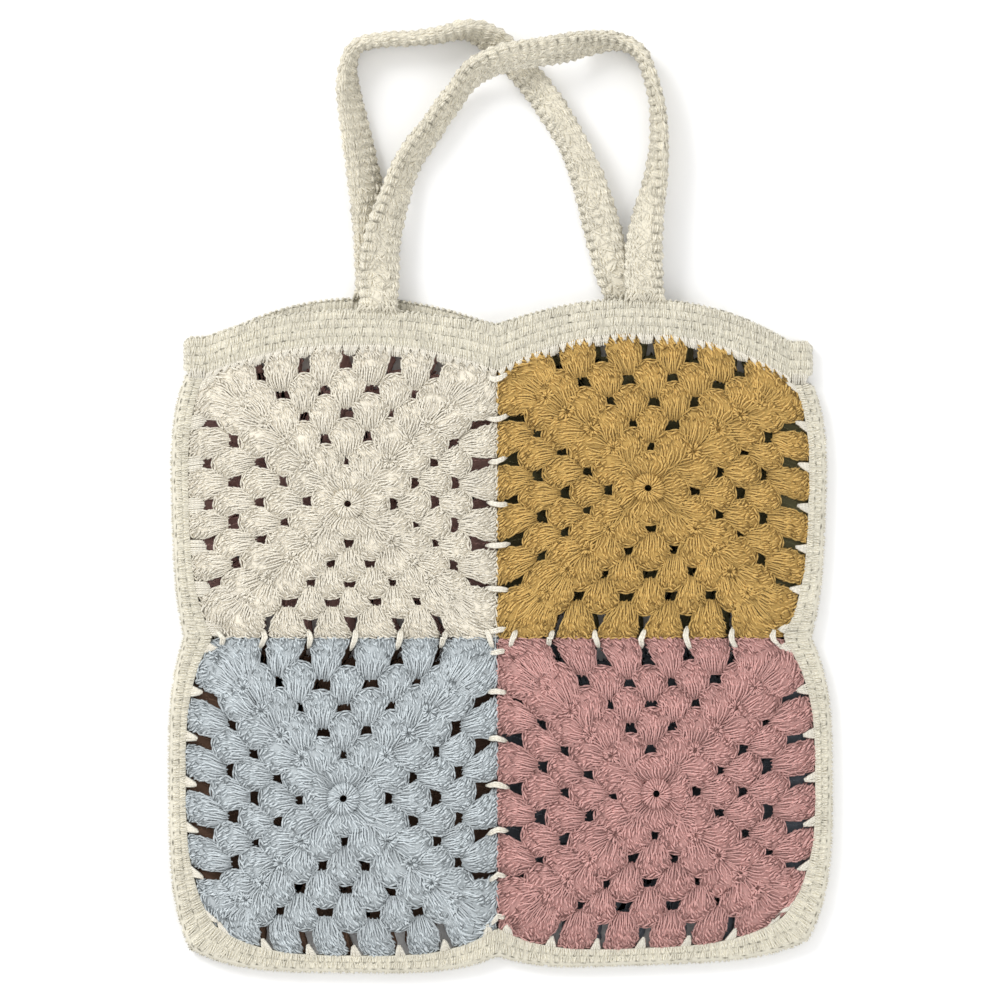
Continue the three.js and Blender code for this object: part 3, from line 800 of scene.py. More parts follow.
class Rim:
    """The closed band round the mouth: along its front, round its right end and back along its rear."""

    def __init__(self):
        columns = []
        for square in SQUARES[:2]:
            share = np.linspace(0, 1, 60)
            outward = 1 - share if square["column"] == "left" else share
            x, y = square_plan(square, outward, np.ones_like(share))
            height = along_side(RIM_HEIGHTS, outward)
            under = front_middle(square, outward, np.ones_like(share)) - FABRIC_WALL / 2
            columns.append(np.stack([x, y + SEAM_CLEARANCE, height, under])[:, (1 if columns else 0):])
        x, low, height, under = np.concatenate(columns, axis=1)
        share = (x - (x[0] + x[-1]) / 2) / ((x[-1] - x[0]) / 2)
        rise = BACK_RIM_RISE * np.maximum(0, 1 - ((share - BACK_RISE_MIDDLE) / BACK_RISE_REACH) ** 2)
        self.mouth = {"x": x, "low": low, "high": low + height, "under": under, "rise": rise}
        reach = EDGING_WIDTHS["mouth"] + SEAM_CLEARANCE + RIM_OVERHANG
        folds = {}
        for end, sign in ((-1, 1), (0, -1)):
            turn = np.linspace(90, -90, 11) * math.pi / 180
            fold_x = x[end] + sign * (reach - EDGING_ROUND + EDGING_ROUND * np.cos(turn))
            fold_z = FRONT_TOP / 2 * (1 + np.sin(turn))
            same = np.ones_like(turn)
            folds[sign] = np.stack([fold_x, fold_z, low[end] * same, (low + height)[end] * same])
        front = np.stack([x, under + FABRIC_WALL, low, low + height])
        back = np.stack([x, 0 * x, low, low + height + rise])[:, ::-1]
        loop = np.concatenate([front, folds[1], back, folds[-1][:, ::-1], front[:, :1]], axis=1)
        self.x, self.z, self.low, self.high = loop
        section = np.stack([self.x, self.z], axis=-1)
        self.run = distances(section)
        self.length = self.run[-1]
        ahead = unit(np.gradient(section, axis=0))
        self.out_x, self.out_z = -ahead[:, 1], ahead[:, 0]

    def place(self, along, across, lift):
        """across is 0 at the squares and 1 at the mouth; lift is outwards from the outer face."""
        along, across, lift = np.broadcast_arrays(np.mod(along, self.length), across, lift)
        band = (self.x, self.z, self.low, self.high, self.out_x, self.out_z)
        x, z, low, high, out_x, out_z = (np.interp(along, self.run, values) for values in band)
        rounded = 0.5 + (across - 0.5) * (1 - END_PINCH * out_x ** 2)
        return np.stack([x + out_x * lift, mix(low, high, rounded), z + out_z * lift], axis=-1)


# Rows of the bands across their section, and how deep in millimetres their yarn lies in the solid's face
EDGING_ROWS = ((0.0, 0.5), (0.5, 1.0), (1.2, 1.8), (2.0, 2.5), (2.5, 3.0))
RIM_ROWS = 4
INNER_RIM_ROW = (0.74, 0.98)
ROW_DEPTH = 0.6
END_TRIM = 0.9

# Sections of the pads under the bands: across, and for the rim how far out in millimetres
EDGING_PAD = (0, 0.5, 1, 1.25, 1.5, 1.75, 2, 2.5, 3)
EDGING_PAD_LIFT = -0.8
RIM_PAD = ((0.02, -0.8), (0.97, -0.8), (0.97, -3.7), (0.02, -3.7))

# The legs of one single crochet: foot and head in shares of its width from its middle
LEGS = ((-0.3, -0.44), (-0.1, -0.28), (0.06, 0.2), (0.26, 0.4))
# Painted shade: a leg darkens at its foot and a little at its head, where it goes into the fabric, and the
# slots between rows are dark strands standing for their shade
LEG_SHADE_TONES = (-0.45, 0.1, -0.1)
SLOT_SHADE_TONES = (-0.9, -2.4, -0.9)


def single_crochet(yarn, band, low, high, draw, stitch, start=0, end=None, face=1, depth=ROW_DEPTH):
    """One row of single crochet on a band: V legs of every stitch, and dark strands of painted shade in the
    slots between rows.
    """
    end = band.length if end is None else end
    count = max(2, round((end - start) / stitch))
    width = (end - start) / count
    middle = start + (np.arange(count) + 0.5) * width + draw.uniform(-0.5, 0.5, count)
    part = np.linspace(0, 1, 3)[None, :]

    def work(along, across, lift, radius, tone):
        lift = lift + dive(3, 0.4) + draw.uniform(-0.2, 0.2, (len(along), 1)) - depth
        paths = band.place(along, across, face * lift)
        outward = face * (band.place(along, across, face * lift + 1) - paths)
        paths[..., 2] = np.maximum(paths[..., 2], radius)
        yarn.add_yarn(paths, radius, tone + draw.normal(0, 0.25, (len(paths), 1)), outward)

    tall = high - low
    for foot, head in LEGS:
        foot_at = middle + (foot + draw.uniform(-0.14, 0.14, count)) * width
        head_at = middle + (head + draw.uniform(-0.14, 0.14, count)) * width
        along = mix(foot_at[:, None], head_at[:, None], part)
        across = low + tall * mix(0.05, 0.96, part) + tall * draw.uniform(-0.05, 0.05, (count, 1))
        work(along, across, 0.1, BAND_PLY, np.array(LEG_SHADE_TONES))
    # Dark strands of painted shade in the slot between this row and the next
    along = middle[:, None] + width * mix(0.2, 0.8, part)
    across = low + tall * (1 + 0.1 * draw.uniform(-1, 1, (count, 1)) + 0.05 * (part - 0.5))
    work(along, across, 0.2, SLOT_SHADE_PLY, np.array(SLOT_SHADE_TONES) + draw.uniform(-0.6, 1.2, (count, 1)))


def edging_yarn(draw, stitch):
    """Yarn and padding of the side edging."""
    band, yarn = Edging(), Crochet()
    for low, high in EDGING_ROWS:
        single_crochet(yarn, band, low, high, draw, stitch, END_TRIM, band.length - END_TRIM)
    along = np.linspace(0.8, band.length - 0.8, 240)[:, None]
    section = band.place(along, np.array(EDGING_PAD), EDGING_PAD_LIFT)
    yarn.add_padding(*ring_mesh(section, False), BAND_PAD_SHADE)
    return yarn


def rim_yarn(draw, stitch):
    """Yarn and padding of the rim band."""
    band, yarn = Rim(), Crochet()
    for row in range(RIM_ROWS):
        single_crochet(yarn, band, row / RIM_ROWS, (row + 1) / RIM_ROWS, draw, stitch)
    single_crochet(yarn, band, *INNER_RIM_ROW, draw, stitch, face=-1, depth=0.75 - FABRIC_WALL)
    count = round(band.length / stitch * 1.6)
    along = (np.arange(count) + 0.5) * band.length / count
    part = np.linspace(0, 1, 5)
    crest = band.place(along[:, None] + 1.6 * (part - 0.5), 1, -0.3 - (FABRIC_WALL - 0.6) * part)
    crest[..., 1] += np.interp(part, (0, 0.3, 0.7, 1), (-0.6, 0.3, 0.3, -0.6))
    yarn.add_yarn(crest, CREST_PLY, draw.normal(0, 0.3, count), (0, 1, 0))
    along = np.linspace(0, band.length, 300, endpoint=False)[:, None]
    section = band.place(along, *np.array(RIM_PAD).T)
    yarn.add_padding(*ring_mesh(section[:, ::-1], True), BAND_PAD_SHADE)
    return yarn


# Sewing yarn over a joint: where its strands run, in shares of half a square's side from its middle, how
# high they stand in millimetres, how far the bundle opens, and its radii and tones, which are painted shade
# where the strands go into the fabric and painted light where they stand highest
SEWING_REACH = (0.93, 0.955, 0.99, 0.99, 0.955, 0.93)
SEWING_LIFT = (-0.6, 1.9, 2.8, 2.8, 1.9, -0.6)
SEWING_BUNDLE = (0.35, 0.85, 1, 1, 0.85, 0.35)
SEWING_RADII = (0.6, 0.95, 1.1, 1.1, 0.95, 0.6)
SEWING_SHADE_TONES = (-1.2, 0.2, 0.5, 0.5, 0.2, -1.2)
SEWING_SHIFTS = (-1.05, -0.1, 0.85)
SEWING_SWAY = 1.5
CORNER_SWAY = 2.4

# The gaps at the ends of a joint count as corners, and lie at this share of half a square's side
GAP_AT_END = 0.93
CORNER_FROM = 0.88

# Teeth of the bands over the squares: half width and reach in millimetres, how many strands, how wide the
# tip stays and how high it stands over the wall
BRIDGE = ((4.2, 7.5), 8, 0.9, 1.5)
EDGING_TOOTH = ((2.9, 5.4), 6, 0.3, 1.7)
TONGUE = ((3.3, 5.0), 7, 0.95, 0.9)
RIM_TOOTH = ((2.2, 4.2), 4, 0.2, 1.9)
# Painted shade: each tooth's strands darken at the tip, where they go into the fabric
TOOTH_SHADE_TONES = (0.1, 0.1, 0.0, -0.7)


def cross_joint(first, second, first_side, second_side, along, draw):
    """The soft bundle of sewing yarn that crosses the joint between two squares at one gap."""
    most_sway = CORNER_SWAY if abs(along) > CORNER_FROM else SEWING_SWAY
    reach = (np.array(SEWING_REACH) + draw.uniform(-0.012, 0.012)) * HALF_SIDE
    middle = along * HALF_SIDE + draw.uniform(-0.5, 0.5)
    sway = draw.uniform(-1, 1) * most_sway * np.linspace(-1, 1, 6)
    strands = []
    for shift in SEWING_SHIFTS:
        across = middle + shift * np.array(SEWING_BUNDLE) + sway + draw.uniform(-0.2, 0.2, 6)
        near = np.stack([across[:3], reach[:3], SEWING_LIFT[:3]], axis=-1)
        far = np.stack([-across[3:], reach[3:], SEWING_LIFT[3:]], axis=-1)
        placed_near = on_square(first, turn_side(near, first_side))
        placed_far = on_square(second, turn_side(far, second_side))
        strands.append(np.concatenate([placed_near, placed_far]))
    return np.stack(strands)


def add_tooth(yarn, square, side, middle, tooth, draw):
    """Loops of a band's yarn that reach over the outer edge of a square."""
    (half_width, reach), strands, tip_share, lift = tooth
    spread = np.linspace(-1, 1, strands)[:, None]
    part = np.linspace(0, 1, 4)
    across = middle + spread * half_width * mix(1, tip_share, part) + draw.uniform(-0.2, 0.2, (strands, 1))
    tip = HALF_SIDE - reach * (1 - 0.2 * spread ** 2) + draw.uniform(-0.3, 0.3, (strands, 1))
    height = lift + dive(4, 1.0) - 0.4 * spread ** 2
    flat = np.stack([across, mix(HALF_SIDE + 1.5, tip, part), height], axis=-1)
    tone = np.array(TOOTH_SHADE_TONES) + draw.normal(0, 0.2, (strands, 1))
    yarn.add_yarn(on_square(square, turn_side(flat, side)), SEWING_PLY, tone)


def sewing_yarn(draw, stitch):
    """The sewing yarn across the joints and the teeth of the bands over the squares' outer edges."""
    yarn = Crochet()
    cream, mustard, blue, pink = SQUARES
    gaps = [gap_along(ROUNDS, index) for index in range(ROUNDS + 1)]
    gaps[0], gaps[-1] = -GAP_AT_END, GAP_AT_END
    for first, second, sides, inner in (
        (cream, blue, (2, 0), -0.94), (mustard, pink, (2, 0), 0.89),
        (cream, mustard, (1, 3), 0.94), (blue, pink, (1, 3), -0.9),
    ):
        for gap in gaps:
            along = inner if abs(gap - inner) < 0.1 else gap
            strands = cross_joint(first, second, *sides, along, draw)
            tone = np.array(SEWING_SHADE_TONES) + draw.normal(0, 0.2, (3, 1))
            yarn.add_yarn(strands, SEWING_PLY * np.array(SEWING_RADII), tone)
    for square, side in ((cream, 3), (mustard, 1), (blue, 3), (blue, 2), (pink, 1), (pink, 2)):
        for gap in gaps:
            tooth = BRIDGE if square is cream else EDGING_TOOTH
            add_tooth(yarn, square, side, gap * HALF_SIDE, tooth, draw)
    for square in (cream, mustard):
        for gap in gaps[1:-1]:
            add_tooth(yarn, square, 0, gap * HALF_SIDE, TONGUE, draw)
        for middle in evenly(round(SQUARE_SIDE / stitch), HALF_SIDE):
            add_tooth(yarn, square, 0, middle, RIM_TOOTH, draw)
    for end, sign in ((0, -1), (-1, 1)):
        stitches = end_stitches(Rim().mouth, end, sign, draw)
        yarn.add_yarn(stitches, BAND_PLY, draw.normal(-0.5, 0.3, len(stitches)))
    return yarn


def end_stitches(mouth, end, sign, draw):
    """The stitches that carry the side edging on into the rim, at one end of the mouth."""
    count = 7
    x = mouth["x"][end] + sign * (0.8 + 1.15 * np.arange(count)) + draw.uniform(-0.2, 0.2, count)
    slant = draw.uniform(-0.5, 0.5, count)
    points = []
    for part, lift in ((-1.0, -0.9), (-0.4, 0.1), (0.4, 0.1), (1.0, -0.9)):
        y = mouth["low"][end] + 2.7 * part + draw.uniform(-0.2, 0.2, count)
        points.append(np.stack([x + slant * part, y, FRONT_TOP + lift + 0 * x], axis=-1))
    return np.stack(points, axis=1)


def foot_stitches(mouth, middle, is_back, draw):
    """The stitches that carry on from the rim's top row into the foot of a handle."""
    count = 17
    x = middle + np.linspace(-STRAP_WIDTH / 2, STRAP_WIDTH / 2, count) + draw.uniform(-0.3, 0.3, count)
    edge = np.interp(x, mouth["x"], mouth["high"] + (mouth["rise"] if is_back else 0))
    wall_top = FABRIC_WALL if is_back else np.interp(x, mouth["x"], mouth["under"]) + FABRIC_WALL
    strap_top = STRAP_REST + STRAP_THICKNESS if is_back else wall_top + (STRAP_THICKNESS - FABRIC_WALL) / 2
    slant = draw.uniform(-2.2, 2.2, count)
    length = draw.uniform(1.2, 2.4, count)
    points = []
    for part, height in ((-1.0, 0), (-0.3, 0.5), (0.4, 0.95), (1.0, 1.0)):
        z = mix(wall_top, strap_top, height) + (0.1 if abs(part) < 0.9 else -0.7)
        points.append(np.stack([x + slant * part, edge + RIM_CROWN + length * part, z + 0 * x], axis=-1))
    return np.stack(points, axis=1)


# The handles, as the solids have them: sizes in millimetres, and stations from left foot to right foot
# with across in shares of the span, up in shares of the rise, the height of the lowest point in straps'
# thicknesses and widths, the roll in degrees and the share of the width that is left
STRAP_WIDTH = 20
STRAP_THICKNESS = 7.2
STRAP_REST = 0.4
STRAP_LEGS = 34
# Painted shade: a leg darkens at both ends, where it goes into the fabric, and the slot strands are dark
# yarn standing for the shade in the slots
STRAP_LEG = {"radii": (0.8, 1.05, 0.8), "tones": (-0.7, 0.2, -0.7)}
STRAP_SLOT_SHADE = {"radii": (0.9, 1.5, 1.7, 1.4, 0.8), "tones": (-1.0, -2.0, -2.6, -2.0, -1.0), "lift": -0.6}
STRAP_PAD_LIFT = -0.9
SLOT_BOW = 1.1
STRAP_SQUARENESS = 0.55
FRONT_HANDLE = {"left_foot": -62.5, "span": 140, "rise": 136.5}
BACK_HANDLE = {"left_foot": -65, "span": 132, "rise": 142}
FRONT_STATIONS = (
    (0.004, 0.09, 1.1, 0, 4, 1.05), (0.015, 0.23, 1.1, 0, 16, 1), (0.053, 0.37, 0.6, 0, 40, 1),
    (0.113, 0.535, 0, 0, 56, 1), (0.199, 0.66, 0, 0, 62, 1), (0.278, 0.775, 0, 0.05, 62, 0.95),
    (0.357, 0.87, 0.5, 0.15, 52, 0.9), (0.462, 0.92, 1, 0.38, 40, 0.85), (0.568, 0.94, 1, 0.38, 34, 0.82),
    (0.68, 0.96, 0.9, 0.28, 42, 0.85), (0.793, 0.985, 0.2, 0.05, 62, 0.92), (0.891, 0.995, 0, 0, 80, 1),
    (0.974, 0.96, 0, 0, 88, 1), (1.019, 0.865, 0, 0, 88, 1), (1.045, 0.75, 0, 0, 84, 1),
    (1.053, 0.615, 0, 0, 76, 1), (1.041, 0.48, 0, 0, 66, 1), (1.015, 0.345, 0.3, 0, 48, 1),
    (0.998, 0.23, 0.9, 0, 24, 1), (0.996, 0.1, 1.15, 0, 6, 1),
)
BACK_STATIONS = (
    (0, 0.1, 0, 0, 0, 1), (-0.008, 0.24, 0, 0, 12, 1), (-0.024, 0.37, 0, 0, 28, 1),
    (-0.048, 0.5, 0, 0, 40, 1), (-0.075, 0.635, 0, 0, 50, 1), (-0.099, 0.76, 0, 0, 62, 1),
    (-0.103, 0.86, 0, 0, 76, 1), (-0.07, 0.935, 0, 0, 88, 1), (0.016, 0.96, 0, 0, 90, 1),
    (0.143, 0.967, 0, 0, 90, 1), (0.262, 0.98, 0, 0, 86, 1), (0.373, 1, 0, 0, 74, 0.95),
    (0.476, 0.96, 0, 0, 40, 0.86), (0.563, 0.88, 0, 0, 22, 0.8), (0.643, 0.795, 0, 0, 24, 0.8),
    (0.722, 0.69, 0, 0, 38, 0.9), (0.786, 0.59, 0, 0, 50, 1), (0.841, 0.474, 0, 0, 42, 1),
    (0.885, 0.35, 0, 0, 28, 1), (0.921, 0.222, 0, 0, 12, 1), (0.96, 0.1, 0, 0, 2, 1),
)


def smooth_line(points, shares):
    """Points of a centripetal Catmull-Rom curve through points, at shares of its length in points."""
    ends = (2 * points[:1] - points[1:2], 2 * points[-1:] - points[-2:-1])
    padded = np.concatenate([ends[0], points, ends[1]])
    place = np.clip(shares * (len(points) - 1), 0, len(points) - 1 - 1e-9)
    first = place.astype(int)
    part = (place - first)[:, None]
    p0, p1, p2, p3 = (padded[first + k] for k in range(4))
    lengths = (np.linalg.norm(step, axis=1, keepdims=True) for step in (p1 - p0, p2 - p1, p3 - p2))
    d0, d1, d2 = (np.maximum(length, 1e-4) ** 0.5 for length in lengths)
    t1 = ((p1 - p0) / d0 - (p2 - p0) / (d0 + d1) + (p2 - p1) / d1) * d1
    t2 = ((p2 - p1) / d1 - (p3 - p1) / (d1 + d2) + (p3 - p2) / d2) * d1
    cubic = 2 * p1 - 2 * p2 + t1 + t2
    square = -3 * p1 + 3 * p2 - 2 * t1 - t2
    return ((cubic * part + square) * part + t1) * part + p1


class Strap:
    """One handle: its centre line with the strap's own directions."""

    def __init__(self, handle, stations, is_back):
        mouth = Rim().mouth
        crest = mouth["high"].max()
        feet = []
        for x in (handle["left_foot"], handle["left_foot"] + handle["span"]):
            x = x + MEETING[0]
            lift = mouth["rise"] if is_back else 0
            edge = np.interp(x, mouth["x"], mouth["high"] + lift) + RIM_CROWN + SEAM_CLEARANCE
            under = np.interp(x, mouth["x"], mouth["under"])
            z = STRAP_REST + STRAP_THICKNESS / 2 if is_back else under + FABRIC_WALL / 2
            feet.append(((x, edge, z), (0, 1, 0)))
        rows = [feet[0]]
        for across, up, thickness, width, roll, share in stations:
            turn = math.radians(roll)
            standing = STRAP_WIDTH * share * math.sin(turn) + STRAP_THICKNESS * math.cos(turn)
            z = STRAP_REST + thickness * STRAP_THICKNESS + width * STRAP_WIDTH + standing / 2
            x = MEETING[0] + handle["left_foot"] + across * handle["span"]
            rows.append(((x, crest + up * handle["rise"], z), (roll, share, 0)))
        rows.append(feet[1])
        centres = np.array([row[0] for row in rows], float)
        turns = np.array([row[1] for row in rows], float)
        shares = np.linspace(0, 1, 400)
        self.centre = smooth_line(centres, shares)
        roll, self.share = smooth_line(turns, shares)[:, :2].T
        ahead = unit(np.gradient(self.centre, axis=0))
        outward = unit(np.cross(UPWARDS, ahead))
        upward = np.cross(ahead, outward)
        roll = np.radians(roll)[:, None]
        self.across = outward * np.cos(roll) + upward * np.sin(roll)
        self.facing = np.cross(ahead, self.across)
        self.run = distances(self.centre)
        self.length = self.run[-1]

    def place(self, along, turn, lift):
        """turn is the angle round the strap's section, 0 at its outer edge and a quarter on its face."""
        def at(values):
            return np.stack([np.interp(along, self.run, values[:, k]) for k in range(3)], axis=-1)

        share = np.interp(along, self.run, self.share)
        side = squared_off(np.cos(turn), STRAP_SQUARENESS) * (STRAP_WIDTH * share / 2 + lift)
        face = squared_off(np.sin(turn), STRAP_SQUARENESS) * (STRAP_THICKNESS / 2 + lift)
        return at(self.centre) + side[..., None] * at(self.across) + face[..., None] * at(self.facing)


def even_turns(count):
    """Angles round a strap's section, the same distance apart along its outline."""
    turn = np.linspace(0, 2 * math.pi, 721)
    side = squared_off(np.cos(turn), STRAP_SQUARENESS) * STRAP_WIDTH / 2
    face = squared_off(np.sin(turn), STRAP_SQUARENESS) * STRAP_THICKNESS / 2
    run = distances(np.stack([side, face], axis=-1))
    return np.interp(np.arange(count) / count * run[-1], run, turn)


def strap_yarn(strap, slot_side, draw, row):
    """Yarn and padding of one handle: rows of single crochet round the strap, with dark painted-shade
    strands in slots on one side.
    """
    yarn = Crochet()
    rows = round(strap.length / row)
    pitch = strap.length / rows

    def work(along, turn, lift, radius, tone, lowest=0):
        paths = strap.place(along, turn, lift)
        outward = paths - strap.place(along, turn, lift - 1)
        paths[..., 2] = np.maximum(paths[..., 2], lowest)
        yarn.add_yarn(paths, radius, tone, outward)

    def bowed(along, turn):
        return along + SLOT_BOW * slot_side * np.cos(turn) * np.sin(turn) ** 2

    part = np.linspace(0, 1, 3)[None, :]
    for number in range(rows):
        foot = even_turns(STRAP_LEGS) + draw.uniform(-0.07, 0.07, STRAP_LEGS)
        turn = foot[:, None] + draw.normal(0, 0.22, (STRAP_LEGS, 1)) * (part - 0.5)
        along = (number + part + draw.uniform(-0.12, 0.12, turn.shape)) * pitch
        along = np.clip(bowed(along, turn), 0, strap.length)
        lift = -0.55 + dive(3, 0.85) + draw.uniform(-0.35, 0.3, (STRAP_LEGS, 1))
        tone = np.array(STRAP_LEG["tones"]) + draw.normal(0, 0.3, (STRAP_LEGS, 1))
        work(along, turn, lift, STRAP_PLY * np.array(STRAP_LEG["radii"]), tone, STRAP_PLY)
    # Dark strands of painted shade in the slots between rows, on both faces
    middle = np.arange(1, rows) * pitch + draw.uniform(-0.2, 0.2, rows - 1)
    facing = math.pi / 2 + draw.uniform(-0.12, 0.12, (rows - 1, 1))
    part = np.linspace(0.25, 0.9, 5)[None, :]
    for face in (1, -1):
        turn = face * (facing - slot_side * part * math.pi / 2 * 0.92)
        along = bowed(middle[:, None], turn) + draw.uniform(-0.25, 0.25, turn.shape)
        tone = np.array(STRAP_SLOT_SHADE["tones"]) + draw.uniform(-0.2, 1.2, (rows - 1, 1))
        work(along, turn, STRAP_SLOT_SHADE["lift"], SLOT_SHADE_PLY * np.array(STRAP_SLOT_SHADE["radii"]), tone)
    along = np.linspace(0.3, strap.length - 0.3, 140)[:, None]
    section = np.linspace(0, 2 * math.pi, 12, endpoint=False)
    yarn.add_padding(*ring_mesh(strap.place(along, section, STRAP_PAD_LIFT), False), STRAP_PAD_SHADE)
    return yarn


# Each colour of yarn keeps this share of its linear colour where its painted shade is deepest and where its
# painted light is palest. Cream lets light through, and its painted shade in the hollows stays pale. Dyed
# yarn gets a deep and warm painted shade in its hollows.
CREAM_SHARES = (0.76, 1.06)
DYED_SHARES = (0.3, 1.15)
BAND_SHARES = (0.35, 1.15)
SEWING_SHARES = (0.45, 1.1)

# Patterns of the yarn. Patches where it is dyed unevenly are about 17 mm wide, 60 to the metre. Hairs lie
# some 0.45 mm apart, 2,200 to the metre, which is coarser than real ones so that they show.
PATCHES = 60.0
HAIRS = 2200.0

# Three plies wind round each other, and 3,400 radians to the metre make a groove every 1.85 mm
PLIES = 3.0
PLY_TURNS = 3400.0


def cotton(name, colour, shares):
    """Matte cotton yarn of several plies, with painted light on its ridges and a deeper, warmer painted
    shade where plies meet.
    """
    material = bpy.data.materials.new(name)
    material.use_nodes = True
    tree = material.node_tree
    tree.nodes.clear()
    math_node, texture, remap = "ShaderNodeMath", "ShaderNodeTexNoise", "ShaderNodeMapRange"
    tone = add_node(tree, "ShaderNodeAttribute", attribute_name="tone").outputs["Fac"]
    turn = add_node(tree, "ShaderNodeAttribute", attribute_name="turn").outputs["Vector"]
    along = add_node(tree, "ShaderNodeAttribute", attribute_name="along").outputs["Fac"]
    place = add_node(tree, "ShaderNodeTexCoord").outputs["Object"]
    patches = add_node(tree, texture, {"Vector": place, "Scale": PATCHES, "Detail": 3.0})
    hairs = add_node(tree, texture, {"Vector": place, "Scale": HAIRS, "Detail": 2.0})
    parts = add_node(tree, "ShaderNodeSeparateXYZ", {"Vector": turn}).outputs
    angle = add_node(tree, math_node, {0: parts["Y"], 1: parts["X"]}, operation="ARCTAN2")
    climb = add_node(tree, math_node, {0: along, 1: PLY_TURNS}, operation="MULTIPLY")
    wound = add_node(tree, math_node, {0: angle, 1: PLIES}, operation="MULTIPLY")
    phase = add_node(tree, math_node, {0: wound, 1: climb}, operation="ADD")
    wave = add_node(tree, math_node, {0: phase}, operation="SINE")
    uneven = {"Value": patches, "From Min": 0.3, "From Max": 0.7, "To Min": 0.95, "To Max": 1.05}
    patch = add_node(tree, remap, uneven)
    # Painted shade: the colour darkens in the grooves between the plies, which also make the bump
    grooved = {"Value": wave, "From Min": -1.0, "From Max": 0.2, "To Min": 0.8, "To Max": 1.04}
    groove = add_node(tree, remap, grooved)
    # Painted light and shade: the tone mixes each strand's colour from a deep, warm shade colour to a pale
    # lit colour
    strand = add_node(tree, remap, {"Value": tone, "From Min": -3.0, "From Max": 0.5})
    deep = (*(shares[0] * channel ** 1.4 for channel in colour), 1)
    pale = (*(min(1, shares[1] * channel) for channel in colour), 1)
    dyed_with_painted_shade = add_node(tree, "ShaderNodeMix", {"Factor": strand, "A": deep, "B": pale}, data_type="RGBA")
    # The colour is scaled by the uneven dye patches and by the painted shade in the ply grooves
    shade = add_node(tree, math_node, {0: patch, 1: groove}, operation="MULTIPLY")
    final = add_node(tree, "ShaderNodeVectorMath", {0: dyed_with_painted_shade, "Scale": shade}, operation="SCALE")
    relief = add_node(tree, math_node, {0: hairs, 1: wave}, operation="ADD")
    bump = add_node(tree, "ShaderNodeBump", {"Height": relief, "Strength": 0.6, "Distance": 0.15 * MM})
    # Spun cotton scatters light: next to no highlight, and a faint sheen of loose fibres at its edges
    shader = add_node(
        tree, "ShaderNodeBsdfPrincipled",
        {"Base Color": final, "Roughness": 0.95, "Sheen Weight": 0.04, "Sheen Roughness": 0.5,
         "Specular IOR Level": 0.15, "Normal": bump},
    )
    add_node(tree, "ShaderNodeOutputMaterial", {"Surface": shader})
    return material


def yarn_colour(label, hex_colour):
    """A setting for the colour of one yarn."""
    return bpy.props.FloatVectorProperty(
        name=label, description=f"Colour of the {label.lower()} cotton yarn", default=linear(hex_colour),
        subtype="COLOR", size=3, min=0.0, max=1.0,
    )


class BAG_PG_settings(bpy.types.PropertyGroup):
    """Sizes and colours that a user would change."""

    ply_thickness: bpy.props.FloatProperty(
        name="Ply Thickness", description="Thickness of one ply as a share of the yarn's own",
        default=1.0, min=0.5, max=1.5,
    )
    stitch_width: bpy.props.FloatProperty(
        name="Stitch Width", description="Width of one single crochet of the edging and the rim",
        default=0.0047, min=0.003, max=0.008, subtype="DISTANCE", unit="LENGTH",
    )
    strap_row: bpy.props.FloatProperty(
        name="Strap Row", description="Height of one row of stitches of the handles",
        default=0.0049, min=0.003, max=0.008, subtype="DISTANCE", unit="LENGTH",
    )
    cream: yarn_colour("Cream", "F4EEE0")
    mustard: yarn_colour("Mustard", "DCB972")
    blue: yarn_colour("Blue", "D6DDE0")
    pink: yarn_colour("Pink", "DCAEA8")
    rose: yarn_colour("Rose", "E0B6B0")
    olive: yarn_colour("Olive", "8F8B68")
    brown: yarn_colour("Brown", "8A6E5C")
    slate: yarn_colour("Slate", "838B94")
    band: yarn_colour("Band", "E6E1D1")
    handle: yarn_colour("Handle", "E5DFCE")
    sewing: yarn_colour("Sewing", "EFEADD")


def dress_square(context, square, seed, is_back):
    """Makes one square: the padding that counts as its cloth, and the stitches on it."""
    colour = square["back" if is_back else "front"]
    node = f"{'back' if is_back else 'front'}_square_{colour}"
    settings = context.scene.bag_settings
    yarn, padding = square_yarn(square, seed, is_back)
    shares = CREAM_SHARES if colour == "cream" else DYED_SHARES
    material = cotton(f"{colour}_cotton_yarn", getattr(settings, colour), shares)
    stitches = make_piece(f"{node}_stitches", yarn, settings.ply_thickness, material)
    base = bpy.data.objects.new(f"{node}_base", padding.mesh(f"{node}_base"))
    context.scene.collection.objects.link(base)
    base.data.materials.append(material)
    base.data.shade_smooth()
    for piece in (base, stitches):
        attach(piece, "root")
    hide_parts(node)


class BAG_OT_front_squares(bpy.types.Operator):
    """Works the four granny squares of the front"""

    bl_idname = "bag.front_squares"
    bl_label = "Front Squares"

    def execute(self, context):
        for seed, square in enumerate(SQUARES):
            dress_square(context, square, seed, False)
        return {"FINISHED"}


class BAG_OT_back_squares(bpy.types.Operator):
    """Works the four granny squares of the back"""

    bl_idname = "bag.back_squares"
    bl_label = "Back Squares"

    def execute(self, context):
        for seed, square in enumerate(SQUARES):
            dress_square(context, square, seed + BACK_SEED, True)
        return {"FINISHED"}


def dress_band(context, name, yarn, slot, material, *nodes):
    """Makes one cream piece from its yarn and padding; nodes are the solids that it replaces."""
    piece = make_piece(name, yarn, context.scene.bag_settings.ply_thickness, material)
    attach(piece, "root")
    if nodes:
        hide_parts(*nodes)


class BAG_OT_sewing(bpy.types.Operator):
    """Sews the squares together and to their bands with cream yarn"""

    bl_idname = "bag.sewing"
    bl_label = "Sewing Yarn"

    def execute(self, context):
        settings = context.scene.bag_settings
        material = cotton("sewing_cotton_yarn", settings.sewing, SEWING_SHARES)
        yarn = sewing_yarn(np.random.default_rng(SEWING_SEED), settings.stitch_width / MM)
        dress_band(context, "joining_strands", yarn, "edging_cotton", material)
        return {"FINISHED"}


